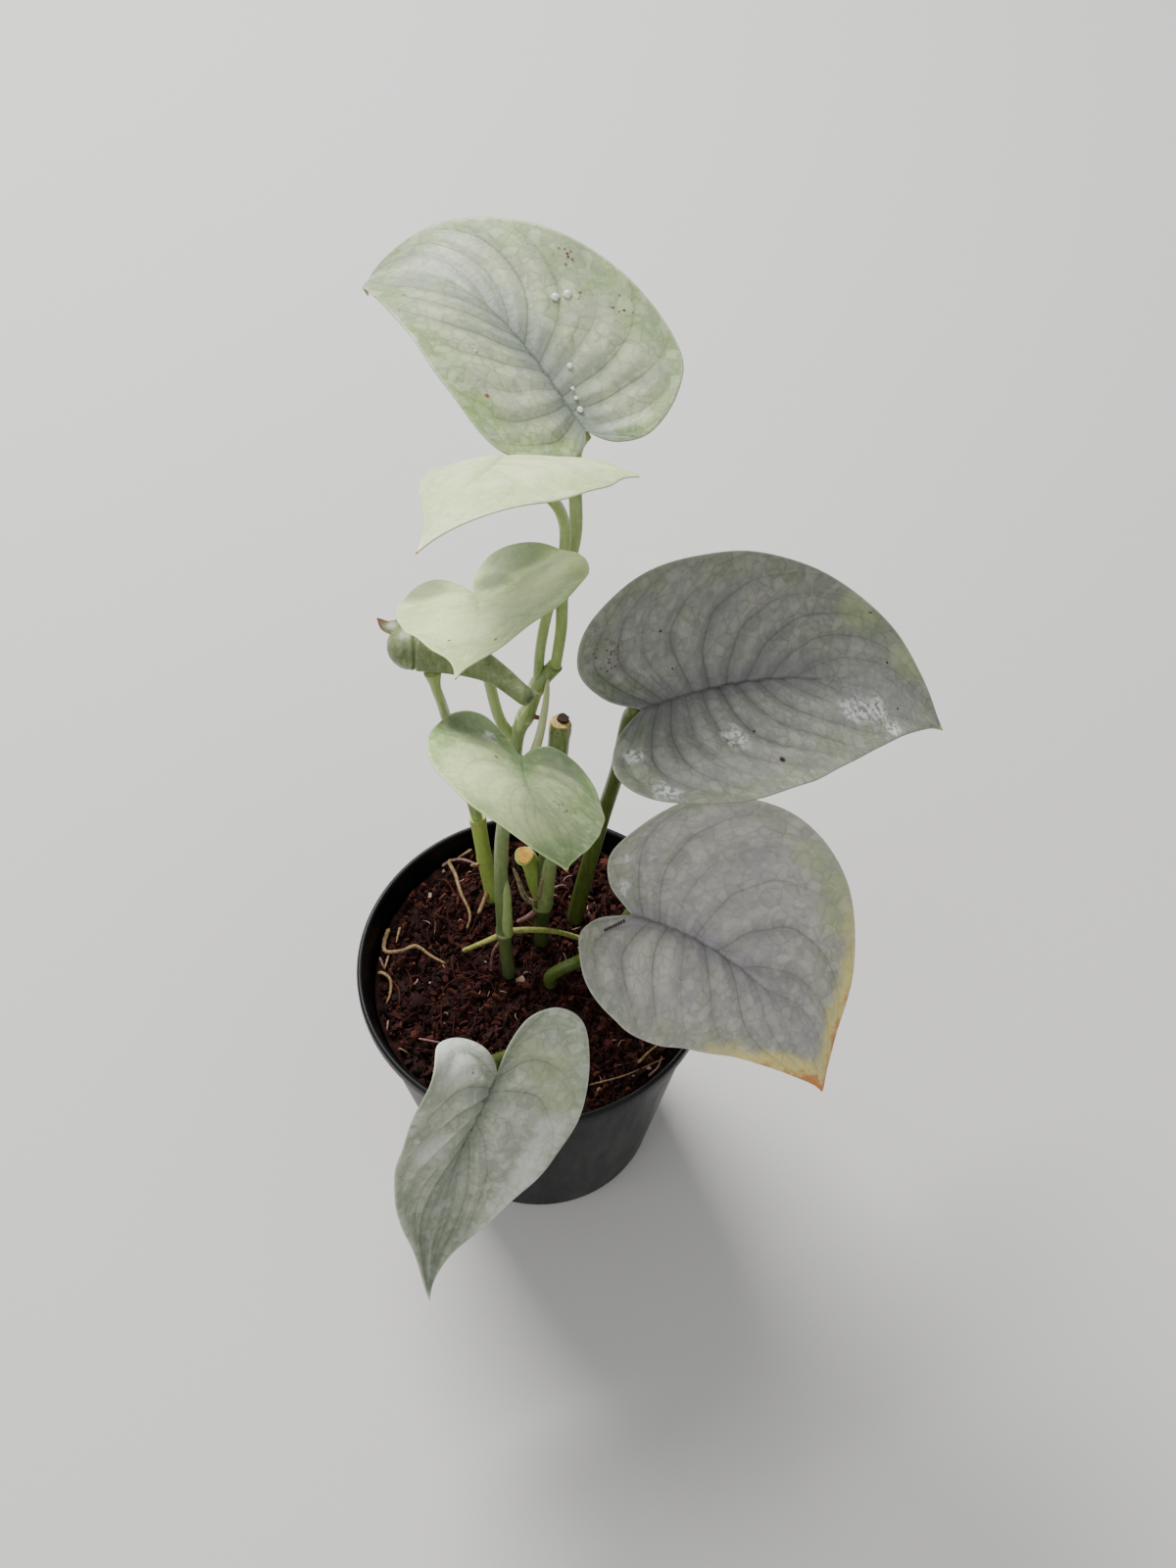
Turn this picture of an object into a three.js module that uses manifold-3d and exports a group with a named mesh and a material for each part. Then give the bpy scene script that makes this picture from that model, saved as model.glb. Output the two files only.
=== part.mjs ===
// A silver-leaved climbing house plant, a potted platinum scindapsus, in a round nursery pot.
// Millimetres, +Z up. The origin is on the pot's axis, at the underside of its floor.
import * as THREE from 'three';
import { mergeVertices } from 'three/addons/utils/BufferGeometryUtils.js';
import Module from 'manifold-3d';

const wasm = await Module();
wasm.setup();

// Driving dimensions
const CLEARANCE = 0.3;            // between pieces that touch on the real plant
const POT = { rimRadius: 52.5, footRadius: 36, height: 93, wall: 1.2, floor: 1.8, lip: 4.5, sides: 40 };
const DRAIN = { count: 6, radius: 3.5, ring: 27, sides: 10 };
const SOIL = { top: 84, relief: 0.8, sides: 40, rings: 5 };
const ROOTED = 20;                // how deep a stem stands in its hole
const TUBE_SIDES = 10;
const BLADE = { thickness: 0.7, sectors: 32, rings: 5, hub: 0.3 };

// Half of a heart-shaped blade, from the notch at its base round the lobe to the tip.
// Across is a share of the half width. Along is a share of the lobe's length, then of the blade's.
const LOBE_SHAPE = [[0, 0], [0.16, -0.62], [0.42, -1.0], [0.74, -0.72]];
const SIDE_SHAPE = [[0.96, 0.04], [0.98, 0.26], [0.82, 0.5], [0.52, 0.74], [0.2, 0.92], [0, 1]];

// Each blade: its base at the end of the petiole, the way it points (heading, rise and roll in
// degrees), its flat size, and its bends in degrees. The arch bends the midrib down and the sweep
// bends it sideways, by the first figure times the share of the length and the second times its
// square. The fold lifts each half at the midrib, and the curl bends it on towards the margin.
const LEAVES = {
  top: {
    base: [15, 56.5, 256], heading: 35, rise: 26, roll: 21,
    length: 85.5, right: 32.5, left: 34, lobeRight: 11, lobeLeft: 7,
    arch: [-11, 99], lobeArch: -138, sweep: [-9, -16],
    foldRight: 30, foldLeft: 15, foldTip: -15, curlRight: 25, curlLeft: -15, curlTip: 2,
  },
  pale: {
    base: [-3, 29.5, 275], heading: 177, rise: 50, roll: -2,
    length: 66, right: 20, left: 30, lobeRight: 13, lobeLeft: 13,
    arch: [36, 14], lobeArch: 38, sweep: [18, 18],
    foldRight: -7, foldLeft: 13, foldTip: -17, curlRight: -25, curlLeft: -31, curlTip: -8,
  },
  folded: {
    base: [-12, 14, 245], heading: 192, rise: 29, roll: 3,
    length: 52.5, right: 19.5, left: 29, lobeRight: 11, lobeLeft: 14.5,
    arch: [-16, 21], lobeArch: 9, sweep: [22, 4],
    foldRight: 15, foldLeft: 28, foldTip: 12, curlRight: -24, curlLeft: -28, curlTip: -5,
  },
  young: {
    base: [-22.5, 21.5, 197], heading: 97, rise: 6, roll: 0,
    length: 32, right: 14, left: 14, lobeRight: 25, lobeLeft: 23,
    arch: [-20, -112], lobeArch: 8, sweep: [-8, 0],
    foldRight: 0, foldLeft: 0, foldTip: 0, curlRight: 160, curlLeft: 150, curlTip: 0,
  },
  heart: {
    base: [-2, 10.3, 182], heading: -174, rise: 28, roll: -24,
    length: 54, right: 27, left: 24.5, lobeRight: 13, lobeLeft: 10.5,
    arch: [-6, 17], lobeArch: -5, sweep: [-18, -3],
    foldRight: 13, foldLeft: -1, foldTip: -6, curlRight: -28, curlLeft: -19, curlTip: -5,
  },
  dark: {
    base: [29.5, 23.5, 185], heading: -56, rise: -14, roll: 33,
    length: 106, right: 40, left: 39, lobeRight: 19.5, lobeLeft: 17,
    arch: [2, -2], lobeArch: -7, sweep: [15, 39],
    foldRight: 25, foldLeft: 12, foldTip: -9, curlRight: 20, curlLeft: 36, curlTip: 2,
  },
  yellowing: {
    base: [27.5, -12.5, 140], heading: -94, rise: -21, roll: 25,
    length: 84.5, right: 32.5, left: 47.5, lobeRight: 18, lobeLeft: 16.5,
    arch: [10, 17], lobeArch: -80, sweep: [48, 4],
    foldRight: 29, foldLeft: 20, foldTip: -56, curlRight: -45, curlLeft: 54, curlTip: 1,
  },
  lowest: {
    base: [-9, -50.5, 120], heading: 156, rise: -58, roll: -56,
    length: 76, right: 26.5, left: 29.5, lobeRight: 12.5, lobeLeft: 20,
    arch: [67, -111], lobeArch: 10, sweep: [14, 0],
    foldRight: 9, foldLeft: 16, foldTip: 2, curlRight: -7, curlLeft: -2, curlTip: 2,
  },
};

// Materials, by the colour of each piece
const paint = (color, roughness) => new THREE.MeshStandardMaterial({ color, roughness, metalness: 0 });
const BLACK_PLASTIC = paint('#17181a', 0.42);
const COIR = paint('#3a2019', 0.95);
const STEM_GREEN = paint('#5f7a34', 0.55);
const PETIOLE_GREEN = paint('#6d8446', 0.5);
const SILVER_LEAF = paint('#9fae9a', 0.5);
const ROOT_TAN = paint('#9a8450', 0.8);

const radians = THREE.MathUtils.degToRad;
const vector = ([x, y, z]) => new THREE.Vector3(x, y, z);

// Solids: a closed mesh goes in, and a closed mesh comes out
function toSolid(geometry) {
  const bare = geometry.clone();
  bare.deleteAttribute('normal');
  bare.deleteAttribute('uv');
  const merged = mergeVertices(bare, 1e-4);
  return new wasm.Manifold(new wasm.Mesh({
    numProp: 3,
    vertProperties: new Float32Array(merged.attributes.position.array),
    triVerts: new Uint32Array(merged.index.array),
  }));
}

function toGeometry(solid) {
  const mesh = solid.getMesh();
  const geometry = new THREE.BufferGeometry();
  geometry.setAttribute('position', new THREE.BufferAttribute(mesh.vertProperties, mesh.numProp));
  geometry.setIndex(new THREE.BufferAttribute(mesh.triVerts, 1));
  geometry.computeVertexNormals();
  return geometry;
}

function largestPiece(solid) {
  return solid.decompose().reduce((best, piece) => (piece.volume() > best.volume() ? piece : best));
}

// A round rod along a smooth path. Its radius follows radiusAt, from 0 at the start to 1 at the end.
function rod(points, radiusAt, steps, extra = 0) {
  const path = new THREE.CatmullRomCurve3(points.map(vector));
  const section = new THREE.Shape().absarc(0, 0, 1, 0, 2 * Math.PI);
  const geometry = new THREE.ExtrudeGeometry(section, {
    steps, extrudePath: path, curveSegments: TUBE_SIDES / 2,
  });
  const centres = path.getSpacedPoints(steps);
  const position = geometry.attributes.position;
  const vertex = new THREE.Vector3();
  for (let i = 0; i < position.count; i += 1) {
    vertex.fromBufferAttribute(position, i);
    const gaps = centres.map((centre) => centre.distanceToSquared(vertex));
    const step = gaps.indexOf(Math.min(...gaps));
    vertex.sub(centres[step]).multiplyScalar(radiusAt(step / steps) + extra).add(centres[step]);
    position.setXYZ(i, vertex.x, vertex.y, vertex.z);
  }
  return toSolid(geometry);
}

// A radius that goes from one value to another, with a swelling for each node of the stem
function taper(from, to, swellings = []) {
  return (share) => swellings.reduce(
    (radius, [place, height, width]) => radius + height * Math.exp(-(((share - place) / width) ** 2)),
    from + (to - from) * share,
  );
}

// The blade's flat outline, from the notch along the right half to the tip and back on the left
function bladeOutline(leaf) {
  const half = (width, lobe, side) => {
    const points = [
      ...LOBE_SHAPE.map(([across, along]) => [side * across * width, along * lobe, 0]),
      ...SIDE_SHAPE.map(([across, along]) => [side * across * width, along * leaf.length, 0]),
    ];
    const curve = new THREE.CatmullRomCurve3(points.map(vector), false, 'catmullrom', 0.5);
    return curve.getPoints(BLADE.sectors / 2);
  };
  const right = half(leaf.right, leaf.lobeRight, 1);
  const left = half(leaf.left, leaf.lobeLeft, -1);
  return [...right, ...left.reverse().slice(1, -1)];
}

// The midrib's angles at a share of the length: the arch down and the sweep sideways
function midribAngles(leaf, share) {
  const ahead = Math.max(share, 0);
  const behind = Math.min(share, 0);
  return {
    arch: radians(leaf.arch[0] * ahead + leaf.arch[1] * ahead ** 2 + leaf.lobeArch * behind),
    sweep: radians(leaf.sweep[0] * ahead + leaf.sweep[1] * ahead ** 2),
  };
}

function midribDirection({ arch, sweep }) {
  return new THREE.Vector3(Math.sin(sweep) * Math.cos(arch), Math.cos(sweep) * Math.cos(arch), -Math.sin(arch));
}

// Bends a point of the flat blade into its place beside the midrib
function bendBlade(leaf, flat) {
  const share = flat.y / leaf.length;
  const slices = 24;
  const point = new THREE.Vector3();
  for (let i = 0; i < slices; i += 1) {
    const middle = midribAngles(leaf, (share * (i + 0.5)) / slices);
    point.addScaledVector(midribDirection(middle), flat.y / slices);
  }
  const angles = midribAngles(leaf, share);
  const across = new THREE.Vector3(Math.cos(angles.sweep), -Math.sin(angles.sweep), 0);
  const up = across.clone().cross(midribDirection(angles));
  const side = flat.x < 0 ? 'Left' : 'Right';
  const span = Math.abs(flat.x);
  const shareAlong = THREE.MathUtils.clamp(share, -0.3, 1);
  const fold = radians(leaf[`fold${side}`] + leaf.foldTip * shareAlong);
  const curl = radians(leaf[`curl${side}`] + leaf.curlTip * shareAlong);
  const halfTurn = (curl * span) / (flat.x < 0 ? leaf.left : leaf.right) / 2;
  const chord = span * (Math.abs(halfTurn) < 1e-6 ? 1 : Math.sin(halfTurn) / halfTurn);
  point.addScaledVector(across, Math.sign(flat.x) * chord * Math.cos(fold + halfTurn));
  return point.addScaledVector(up, chord * Math.sin(fold + halfTurn));
}

function leafTurn(leaf) {
  const euler = new THREE.Euler(radians(leaf.rise), radians(leaf.roll), radians(leaf.heading), 'ZXY');
  return new THREE.Matrix4().makeRotationFromEuler(euler).setPosition(vector(leaf.base));
}

// A blade: rings of points from a hub on the midrib out to the margin, given a thickness
function bladeSolid(leaf, thickness) {
  const outline = bladeOutline(leaf);
  const hub = new THREE.Vector3(0, BLADE.hub * leaf.length, 0);
  const flat = [hub];
  for (let ring = 1; ring <= BLADE.rings; ring += 1) {
    outline.forEach((point) => flat.push(hub.clone().lerp(point, ring / BLADE.rings)));
  }
  const turn = leafTurn(leaf);
  const middle = flat.map((point) => bendBlade(leaf, point).applyMatrix4(turn));
  const count = outline.length;
  const next = (i) => (i + 1) % count;
  const faces = [];
  for (let i = 0; i < count; i += 1) faces.push([0, 1 + i, 1 + next(i)]);
  for (let ring = 1; ring < BLADE.rings; ring += 1) {
    const inner = 1 + (ring - 1) * count;
    const outer = inner + count;
    for (let i = 0; i < count; i += 1) {
      faces.push([inner + i, outer + i, outer + next(i)], [inner + i, outer + next(i), inner + next(i)]);
    }
  }
  const sheet = new THREE.BufferGeometry().setFromPoints(middle);
  sheet.setIndex(faces.flat());
  sheet.computeVertexNormals();
  const normals = sheet.attributes.normal;
  const shifted = (way) => middle.map((point, i) => point.clone().addScaledVector(
    new THREE.Vector3().fromBufferAttribute(normals, i), (way * thickness) / 2,
  ));
  const size = middle.length;
  const rim = 1 + (BLADE.rings - 1) * count;
  const shell = [...faces, ...faces.map(([a, b, c]) => [a + size, c + size, b + size])];
  for (let i = 0; i < count; i += 1) {
    const [a, b] = [rim + i, rim + next(i)];
    shell.push([a, a + size, b + size], [a, b + size, b]);
  }
  const solid = new THREE.BufferGeometry().setFromPoints([...shifted(1), ...shifted(-1)]);
  solid.setIndex(shell.flat());
  return toSolid(solid);
}

// A point behind and below a blade's base, where its petiole comes up
function beneath(leaf, back, down) {
  return new THREE.Vector3(0, -back, -down).applyMatrix4(leafTurn(leaf)).toArray();
}

// A petiole stops short of its blade and of the stem that it grows from
function petiole(leaf, points, radius, stem = null) {
  const whole = rod([...points, beneath(leaf, 4, 7), beneath(leaf, 0.4, 0.6)], radius, 12);
  const shape = leafTurn(leaf);
  const sideways = (x, y) => new THREE.Vector3(x, y, 0).transformDirection(shape).multiplyScalar(CLEARANCE + 0.2);
  const blade = bladeSolid(leaf, BLADE.thickness + 2 * CLEARANCE + 0.1);
  let freed = stem ? whole.subtract(stem) : whole;
  for (const shift of [sideways(1, 0), sideways(-1, 0), sideways(0, -1)]) {
    freed = freed.subtract(blade.translate(shift.toArray()));
  }
  return largestPiece(freed);
}

// Pot: a thin moulded wall with a turned lip, and drain holes through its floor
function potSolid() {
  const { rimRadius, footRadius, height, wall, floor, lip, sides } = POT;
  const neck = rimRadius - 2;
  const profile = [
    [0, 0], [footRadius - 2, 0], [footRadius, 2], [neck, height - lip], [rimRadius, height - lip + 0.8],
    [rimRadius, height - 0.6], [rimRadius - 0.6, height], [rimRadius - 1.4, height],
    [rimRadius - 2.2, height - 0.9], [neck - wall, height - lip - 1], [footRadius - wall, floor + 1.2],
    [footRadius - wall - 1.6, floor], [0, floor],
  ];
  const lathe = new THREE.LatheGeometry(profile.map(([r, z]) => new THREE.Vector2(r, z)), sides);
  let pot = toSolid(lathe.rotateX(Math.PI / 2));
  for (let i = 0; i < DRAIN.count; i += 1) {
    const angle = (2 * Math.PI * (i + 0.5)) / DRAIN.count;
    const hole = new THREE.CylinderGeometry(DRAIN.radius, DRAIN.radius, 3 * floor, DRAIN.sides);
    hole.rotateX(Math.PI / 2);
    hole.translate(DRAIN.ring * Math.cos(angle), DRAIN.ring * Math.sin(angle), floor / 2);
    pot = pot.subtract(toSolid(hole));
  }
  return pot;
}

// The height of the soil's rough surface: three crossing waves, like clumps of coir
function soilHeight(x, y) {
  const clumps = Math.sin(0.42 * x + 1.3) * Math.cos(0.37 * y - 0.4) + 0.6 * Math.sin(0.83 * x - 0.61 * y);
  return SOIL.top + SOIL.relief * clumps;
}

const SURFACE_ROOTS = [
  [[-28, 21], [-24, 15], [-20, 12], [-18, 7]],
  [[-44, 6], [-40, -1], [-33, 0], [-27, -3]],
  [[-44, -6], [-40, -8], [-39, -15]],
  [[16, -36], [26, -33], [36, -27]],
];

// Soil: fills the pot from its floor to its rough top, with the surface roots raised on it
function soilSolid() {
  const inner = (z) => {
    const low = POT.footRadius - POT.wall;
    const high = POT.rimRadius - 2 - POT.wall;
    return low + ((high - low) * (z - POT.floor - 1.2)) / (POT.height - POT.lip - 2.2 - POT.floor) - CLEARANCE;
  };
  const bottom = POT.floor + CLEARANCE + 1.2;
  const edge = SOIL.top - 0.6;
  const profile = [[0, bottom - 1.2], [inner(bottom) - 1.8, bottom - 1.2], [inner(bottom), bottom], [inner(edge), edge]];
  for (let ring = SOIL.rings; ring >= 0; ring -= 1) {
    profile.push([((inner(edge) - 1.5) * ring) / SOIL.rings, SOIL.top]);
  }
  const lathe = new THREE.LatheGeometry(profile.map(([r, z]) => new THREE.Vector2(r, z)), SOIL.sides);
  lathe.rotateX(Math.PI / 2);
  const position = lathe.attributes.position;
  for (let i = 0; i < position.count; i += 1) {
    if (position.getZ(i) > SOIL.top - 0.1) position.setZ(i, soilHeight(position.getX(i), position.getY(i)));
  }
  let soil = toSolid(lathe);
  for (const route of SURFACE_ROOTS) {
    const points = route.map(([x, y]) => [x, y, soilHeight(x, y) + 0.2]);
    soil = soil.add(rod(points, taper(0.9, 0.6), 8));
  }
  return soil;
}

// A plain round hole in the soil for a stem that stands in it
function stemHole([x, y], radius) {
  const sides = 12;
  const flatToFlat = (radius + CLEARANCE + 0.1) / Math.cos(Math.PI / sides);
  const hole = new THREE.CylinderGeometry(flatToFlat, flatToFlat, 2 * ROOTED, sides);
  hole.rotateX(Math.PI / 2);
  hole.translate(x, y, SOIL.top - CLEARANCE);
  return toSolid(hole);
}

// The straight foot of a stem, from the bottom of its hole to the soil's surface
function foot([x, y]) {
  return [[x, y, SOIL.top - ROOTED], [x, y, SOIL.top - ROOTED / 2], [x, y, SOIL.top - 1], [x, y, SOIL.top + 3]];
}

// Where each stem and petiole leaves the soil, and its radius there
const ROOTED_AT = {
  tall: { at: [-8, 2], radius: 2.1 },
  left: { at: [-13.6, 27.5], radius: 2.2 },
  centre: { at: [1.7, 12.7], radius: 2.3 },
  dark: { at: [12, 20.3], radius: 2.4 },
  yellowing: { at: [4.5, -1.6], radius: 2.1 },
  lowest: { at: [3, -19.7], radius: 2 },
};

const TALL_ROUTE = [
  ...foot(ROOTED_AT.tall.at), [-9, 5, 102], [-8.6, 13, 138], [-5.5, 26, 152], [-3.9, 31, 164],
  [-0.5, 33, 173], [2, 33, 183], [6.8, 32, 193],
];
const LEFT_ROUTE = [...foot(ROOTED_AT.left.at), [-15.5, 31, 102], [-17, 34, 119]];
const CENTRE_ROUTE = [...foot(ROOTED_AT.centre.at), [2, 14.8, 100], [4.4, 19, 128], [6.5, 26, 150], [8, 32, 166]];
const SCAR_ROUTE = [[2.5, 15.5, 106], [-0.5, 17, 111], [-2.8, 18.5, 119]];
const SHEATH_ROUTE = [[-2.5, 32, 164], [1.5, 30.5, 166], [3.6, 29.4, 178], [4.8, 29.2, 191]];

const tallRadius = taper(2.1, 1.9, [[0.22, 0.45, 0.03], [0.6, -0.35, 0.16], [0.8, 0.4, 0.03], [1, 0.4, 0.06]]);
const leftRadius = taper(2.2, 2, [[0.96, 0.5, 0.06]]);
const centreRadius = taper(2.3, 2.4, [[0.3, 0.5, 0.04], [0.42, 0.4, 0.06]]);
const stems = (extra) => ({
  tall: rod(TALL_ROUTE, tallRadius, 30, extra)
    .add(rod(SHEATH_ROUTE, taper(1.5, 0.35), 7, extra)),
  left: rod(LEFT_ROUTE, leftRadius, 12, extra),
  centre: rod(CENTRE_ROUTE, centreRadius, 22, extra)
    .add(rod(SCAR_ROUTE, taper(2.2, 1.9), 4, extra)),
});
const stem = stems(0);
const around = stems(CLEARANCE);

const petioles = {
  top: petiole(LEAVES.top, [[7, 32.1, 194], [8.6, 34.5, 206], [9.2, 37.5, 219], [12.4, 41, 236]],
    taper(1.5, 1.7, [[1, 0.2, 0.1]]), around.tall),
  pale: petiole(LEAVES.pale, [[2, 33, 183], [3, 33.5, 198], [5.5, 34, 215], [8.4, 34.5, 226], [9.8, 35, 246], [5, 31, 261]],
    taper(1.4, 1.5), around.tall),
  folded: petiole(LEAVES.folded, [[-3.9, 31, 161], [-7.9, 32, 167], [-11, 31.5, 189], [-12.8, 27, 214]],
    taper(1.5, 1.4), around.tall),
  young: petiole(LEAVES.young, [[-17.1, 34, 120.2], [-20.5, 35, 145], [-23.5, 33, 170], [-24, 28, 184]],
    taper(1.9, 1.7), around.left),
  heart: petiole(LEAVES.heart, [[-7.2, 20, 145], [-6, 17, 152], [-4, 13.5, 165]],
    taper(1.4, 1.4), around.tall),
  dark: petiole(LEAVES.dark, [...foot(ROOTED_AT.dark.at), [19, 25, 128], [23.7, 25, 155]], taper(2.4, 2)),
  yellowing: petiole(LEAVES.yellowing, [...foot(ROOTED_AT.yellowing.at), [8, -1.4, 91.5], [14, -1, 96], [21, -3.5, 112]],
    taper(2.1, 1.9)),
  lowest: petiole(LEAVES.lowest, [...foot(ROOTED_AT.lowest.at), [0.5, -34, 104]], taper(2, 1.8)),
};

let soil = soilSolid();
for (const { at, radius } of Object.values(ROOTED_AT)) soil = soil.subtract(stemHole(at, radius));

// Two aerial roots reach from the tall stem's lowest node to the soil
const rootSolid = (points) => largestPiece(
  rod(points, taper(0.9, 0.7), 9).subtract(around.tall).subtract(around.centre),
);
const roots = {
  left: rootSolid([[-9, 5, 101], [-14, 6, 95], [-22, 7.5, 86.6]]),
  right: rootSolid([[-8.5, 5, 102], [-2, 6.5, 100.5], [6, 8, 97], [14, 9, 91], [21, 9, 86.6]]),
};

const plant = new THREE.Group();

function addPiece(name, solid, material) {
  const mesh = new THREE.Mesh(toGeometry(solid), material);
  mesh.name = name;
  plant.add(mesh);
}

addPiece('pot', potSolid(), BLACK_PLASTIC);
addPiece('soil', soil, COIR);
Object.entries(stem).forEach(([name, solid]) => addPiece(`stem_${name}`, solid, STEM_GREEN));
Object.entries(roots).forEach(([name, solid]) => addPiece(`root_${name}`, solid, ROOT_TAN));
Object.entries(petioles).forEach(([name, solid]) => addPiece(`petiole_${name}`, solid, PETIOLE_GREEN));
Object.entries(LEAVES).forEach(([name, leaf]) => {
  addPiece(`leaf_${name}`, bladeSolid(leaf, BLADE.thickness), SILVER_LEAF);
});

export default plant;
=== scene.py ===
"""A potted platinum scindapsus: silver blades on green stalks and stems, in coir, in a nursery pot.

Sizes are in millimetres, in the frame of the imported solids. Meshes go into Blender in metres.
"""

import logging
import math
from dataclasses import dataclass, field
from enum import Enum

import bpy
import numpy as np
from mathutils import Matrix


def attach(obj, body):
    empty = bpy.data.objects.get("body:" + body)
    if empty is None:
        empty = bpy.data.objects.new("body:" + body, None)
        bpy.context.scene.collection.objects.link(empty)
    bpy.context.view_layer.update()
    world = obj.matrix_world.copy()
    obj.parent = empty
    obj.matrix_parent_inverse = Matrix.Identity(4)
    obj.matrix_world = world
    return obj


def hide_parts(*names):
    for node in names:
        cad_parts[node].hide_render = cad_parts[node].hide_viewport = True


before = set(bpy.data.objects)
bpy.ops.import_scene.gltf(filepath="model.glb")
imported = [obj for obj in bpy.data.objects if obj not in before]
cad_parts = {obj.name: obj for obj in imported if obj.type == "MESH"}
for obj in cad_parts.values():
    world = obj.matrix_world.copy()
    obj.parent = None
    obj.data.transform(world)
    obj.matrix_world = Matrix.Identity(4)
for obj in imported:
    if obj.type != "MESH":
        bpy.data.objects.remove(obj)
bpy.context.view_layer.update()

MM = 0.001
Pair = tuple[float, float]
Triple = tuple[float, float, float]
Outline = tuple[Pair, ...]
Triples = tuple[Triple, ...]
Pieces = list[bpy.types.Object]
Socket = bpy.types.NodeSocket
# A mask is one number or the output of a node
Mask = float | Socket
log = logging.getLogger("scindapsus")


# Numbers and colours

def linear(code: str) -> tuple[float, float, float, float]:
    """Turns an sRGB hex colour into linear red, green and blue, with an alpha of 1."""
    shares = [int(code[i:i + 2], 16) / 255 for i in (1, 3, 5)]
    return (*[c / 12.92 if c <= 0.04045 else ((c + 0.055) / 1.055) ** 2.4 for c in shares], 1.0)


def smooth_step(values: np.ndarray, low: float | np.ndarray, high: float) -> np.ndarray:
    """A rise from 0 at low to 1 at high, or a fall if high is below: 3t squared less 2t cubed."""
    share = np.clip((values - low) / (high - low), 0, 1)
    return share * share * (3 - 2 * share)


# Curves and surfaces

def catmull_rom(points: np.ndarray, places: np.ndarray, centripetal: bool = False) -> np.ndarray:
    """Points on a smooth curve through given points.

    Between two points the curve is a cubic. Its slope at each end comes from the points beside
    that end: half the way between them, or, if centripetal, weighed by the root of the gaps.

    Args:
        points: the points that the curve goes through, one a row.
        places: how far along to go, where 1.5 is half way between the second and third point.
        centripetal: whether to weigh the slopes, which keeps uneven points free of loops.

    Returns:
        One point for each place.
    """
    known = np.asarray(points, float)
    known = np.vstack([2 * known[0] - known[1], known, 2 * known[-1] - known[-2]])
    first = np.clip(np.floor(places).astype(int), 0, len(points) - 2)
    share = (places - first)[:, None]
    before, start, end, after = (known[first + step] for step in range(4))
    chord = end - start
    if centripetal:
        gap_before, gap, gap_after = (
            np.maximum(np.linalg.norm(step, axis=1, keepdims=True), 1e-4) ** 0.5
            for step in (start - before, chord, after - end)
        )
        slope_before = (start - before) / gap_before
        slope_here = chord / gap
        slope_after = (after - end) / gap_after
        slope_start = gap * (slope_before + slope_here - (end - before) / (gap_before + gap))
        slope_end = gap * (slope_here + slope_after - (after - start) / (gap + gap_after))
    else:
        slope_start = (end - before) / 2
        slope_end = (after - start) / 2
    square = 3 * chord - 2 * slope_start - slope_end
    cube = slope_start + slope_end - 2 * chord
    return start + slope_start * share + square * share ** 2 + cube * share ** 3


def run_along(points: np.ndarray, places: np.ndarray) -> np.ndarray:
    """How far along the smooth curve through given points each place lies: the sum of the chords."""
    line = catmull_rom(points, places, centripetal=True)
    return np.concatenate([[0], np.cumsum(np.linalg.norm(np.diff(line, axis=0), axis=1))])


def even_path(points: np.ndarray, count: int) -> tuple[np.ndarray, float]:
    """Evenly spaced points on the smooth curve through given points.

    Args:
        points: the points that the curve goes through.
        count: how many points to return.

    Returns:
        The points and the curve's length.
    """
    places = np.linspace(0, len(points) - 1, 40 * (len(points) - 1) + 1)
    run = run_along(points, places)
    even = np.interp(np.linspace(0, run[-1], count), run, places)
    return catmull_rom(points, even, centripetal=True), float(run[-1])


@dataclass
class Shell:
    """A closed surface: its points, its faces in arrays of one face size each, and its attributes."""

    points: np.ndarray
    faces: list[np.ndarray]
    attributes: dict[str, np.ndarray]


def joined(shells: list[Shell]) -> Shell:
    """Several shells as one: their points one after the other, their faces' numbers moved on.

    Args:
        shells: shells with the same attributes.

    Returns:
        The shell of all of them.
    """
    starts = np.cumsum([0, *(len(shell.points) for shell in shells)])
    return Shell(
        np.vstack([shell.points for shell in shells]),
        [face + start for shell, start in zip(shells, starts) for face in shell.faces],
        {name: np.concatenate([shell.attributes[name] for shell in shells]) for name in shells[0].attributes},
    )


def ring_walls(rings: int, sides: int) -> np.ndarray:
    """The faces between neighbouring rings, where a point's number is ring times sides plus spoke.

    Args:
        rings: how many rings there are.
        sides: how many points a ring has.

    Returns:
        One row of four points for each face.
    """
    ring, spoke = np.meshgrid(np.arange(rings - 1), np.arange(sides), indexing="ij")
    here = (ring * sides + spoke).ravel()
    beside = (ring * sides + (spoke + 1) % sides).ravel()
    return np.stack([here, here + sides, beside + sides, beside], axis=1)


def capped_rings(rings: int, sides: int) -> list[np.ndarray]:
    """The walls of a stack of rings, with a fan to a pole at each end. The poles come last.

    Args:
        rings: how many rings there are.
        sides: how many points a ring has.

    Returns:
        The walls, the fan at the start and the fan at the end.
    """
    spokes = np.arange(sides)
    following = (spokes + 1) % sides
    last = (rings - 1) * sides
    start_fan = np.stack([np.full(sides, rings * sides), spokes, following], axis=1)
    end_fan = np.stack([np.full(sides, rings * sides + 1), last + following, last + spokes], axis=1)
    return [ring_walls(rings, sides), start_fan, end_fan]


def turned_round(faces: np.ndarray) -> np.ndarray:
    """The same faces seen from behind: the first point stays and the others change order."""
    return faces[:, [0, *range(faces.shape[1] - 1, 0, -1)]]


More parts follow.
